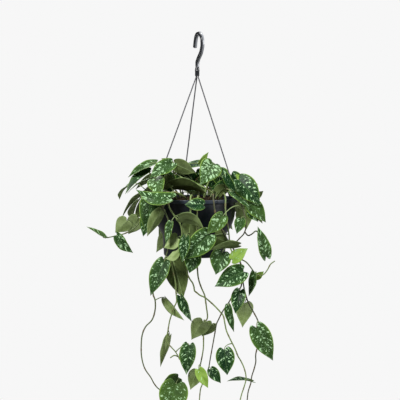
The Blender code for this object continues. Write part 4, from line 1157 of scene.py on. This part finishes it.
def make_strand(name, angle, material):
    """A strand: its round wire from the hub to the rim, and the clip that reaches under the band."""
    outward = Vector((cos(angle), sin(angle), 0))
    tangent = Vector((-sin(angle), cos(angle), 0))
    rim = Vector((POT_AXIS_X, 0, RIM_TOP_Z)) + outward * (RIM_RADIUS + GAP + CLIP_THICKNESS / 2)
    mouth = Vector((HUB_CENTRE.x, HUB_CENTRE.y, HUB_BOTTOM_Z)) + outward * STRAND_SOCKET_RING
    foot = rim + Vector((0, 0, CLIP_RISE / 2))
    bend = mouth - Vector((0, 0, 3 * MM))
    knots = [mouth + Vector((0, 0, STRAND_SOCKET_DEPTH)), mouth, bend]
    knots += [bend.lerp(foot, share) for share in (0.02, 0.08, 0.3, 0.65, 0.95, 1)]
    shares = (1, 1, *[STRAND_SWELL] * 5, 1, 1)
    mesh = Mesh()
    mesh.add(*tube(knots, [STRAND_RADIUS * share for share in shares], 16), 0)
    inner = RIM_RADIUS + GAP
    outer = inner + CLIP_THICKNESS
    reach = RIM_RADIUS - CLIP_REACH
    under = -RIM_BAND_DEPTH - GAP
    low = under - CLIP_THICKNESS
    outline = [(inner, CLIP_RISE), (inner, under), (reach, under), (reach, low), (outer, low)]
    outline = rounded([*outline, (outer, CLIP_RISE), (inner, CLIP_RISE)], 0.5 * MM)[:-1]
    points = []
    for side in (-CLIP_WIDTH / 2, CLIP_WIDTH / 2):
        for radius, height in outline:
            place = Vector((POT_AXIS_X, 0, RIM_TOP_Z + height))
            points.append(place + outward * radius + tangent * side)
    count = len(outline)
    faces = [tuple(range(count)), tuple(range(count, 2 * count))[::-1]]
    faces += [(k, k + count, (k + 1) % count + count, (k + 1) % count) for k in range(count)]
    mesh.add(points, faces, 0)
    made = mesh.made(name + "_fine", [material])
    made.data.set_sharp_from_angle(angle=radians(40))
    return made


def make_vines():
    materials = [
        upper_leaf(), under_leaf(), leaf_edge(),
        stem_skin("stem_skin", (0.016, 0.02, 0.01), (0.2, 0.285, 0.085)),
        stem_skin("stalk_skin", (0.05, 0.08, 0.028), (0.24, 0.33, 0.13)),
    ]
    seed = LEAF_SEED
    for name, (green, foot, stems, blades) in {**front_vines(), **back_vines()}.items():
        mesh = Mesh()
        surface = node_tree(name)
        rough = []
        for knots in stems:
            start = None if rough else foot
            route = smooth(knots, CAD_STEM_STEP)
            rough.append([start, *route] if start else route)
            add_stem(mesh, knots, start, (green, 0, 0))
        for blade in blades:
            seed += 1
            settled = placed(blade, surface)
            if settled is None:
                continue
            add_leaf(mesh, settled, seed)
            stalk_green = YOUNG_STALK_GREEN if settled.look in ("young", "fresh") else STALK_GREEN
            add_stalk(mesh, settled, rough, (stalk_green, 0, 0))
        piece = mesh.made(name + "_fine", materials)
        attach(piece, "root")
        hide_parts(name)


def make_floor():
    """A plain pale disc, well below the hanging plant, which glows a little to match the surround."""
    sides = 64
    rim = [2 * pi * k / sides for k in range(sides)]
    points = [Vector((FLOOR_RADIUS * cos(a), FLOOR_RADIUS * sin(a), FLOOR_Z)) for a in rim]
    mesh = Mesh()
    mesh.add(points, [tuple(range(sides))], 0)
    n = Nodes("pale_floor")
    paper = n.noise(n.place(), 3.0)
    pale = n.mix(paper, (0.84, 0.84, 0.84), (0.86, 0.86, 0.86))
    glow = {"Emission_Color": (1, 1, 1), "Emission_Strength": FLOOR_GLOW}
    n.finish(pale, 0.9, Specular_IOR_Level=0.1, **glow)
    mesh.made("floor", [n.material])


def make_world():
    """A pale surround as bright as the photo's paper, which lights the plant less than it shows."""
    world = bpy.data.worlds.new("studio")
    bpy.context.scene.world = world
    world.use_nodes = True
    nodes, links = world.node_tree.nodes, world.node_tree.links
    seen = nodes["Background"]
    seen.inputs["Strength"].default_value = PAPER_LIGHT
    around = nodes.new("ShaderNodeBackground")
    around.inputs["Strength"].default_value = ROOM_LIGHT
    for background in (seen, around):
        background.inputs["Color"].default_value = (1, 1, 1, 1)
    choice = nodes.new("ShaderNodeMixShader")
    links.new(nodes.new("ShaderNodeLightPath").outputs["Is Camera Ray"], choice.inputs[0])
    links.new(around.outputs[0], choice.inputs[1])
    links.new(seen.outputs[0], choice.inputs[2])
    links.new(choice.outputs[0], nodes["World Output"].inputs["Surface"])


def make_lamps():
    aim = Vector((0, 0, LAMP_AIM_Z))
    for name, place, size, power in LAMPS:
        lamp = bpy.data.lights.new(name, "AREA")
        lamp.shape = "DISK"
        lamp.size = size
        lamp.energy = power
        light = shown(name, lamp)
        light.location = place
        light.rotation_mode = "QUATERNION"
        light.rotation_quaternion = (aim - Vector(place)).to_track_quat("-Z", "Y")


def make_camera():
    camera = bpy.data.cameras.new("camera")
    camera.sensor_width = SENSOR
    camera.lens = SENSOR * VIEW_DISTANCE / VIEW_WIDTH
    camera.clip_end = 100
    made = shown("camera", camera)
    aim = Vector((VIEW_CENTRE[0], 0, -VIEW_CENTRE[1] / cos(VIEW_TILT)))
    made.location = aim + VIEW_DISTANCE * Vector((0, -cos(VIEW_TILT), sin(VIEW_TILT)))
    made.rotation_euler = (pi / 2 - VIEW_TILT, 0, 0)
    bpy.context.scene.camera = made


def main():
    bpy.context.scene.view_settings.view_transform = "Standard"
    make_camera()
    make_floor()
    make_world()
    make_lamps()
    pot = make_pot(pot_plastic())
    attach(pot, "root")
    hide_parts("pot")
    body, crumbs = make_soil(soil_matter())
    for piece in (body, crumbs):
        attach(piece, "root")
    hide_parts("soil")
    make_vines()
    hook = make_hook(hook_plastic())
    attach(hook, "root")
    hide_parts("hook")
    strand = strand_plastic()
    for name, angle in STRAND_ANGLES.items():
        piece = make_strand(name, angle, strand)
        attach(piece, "root")
        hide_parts(name)


main()
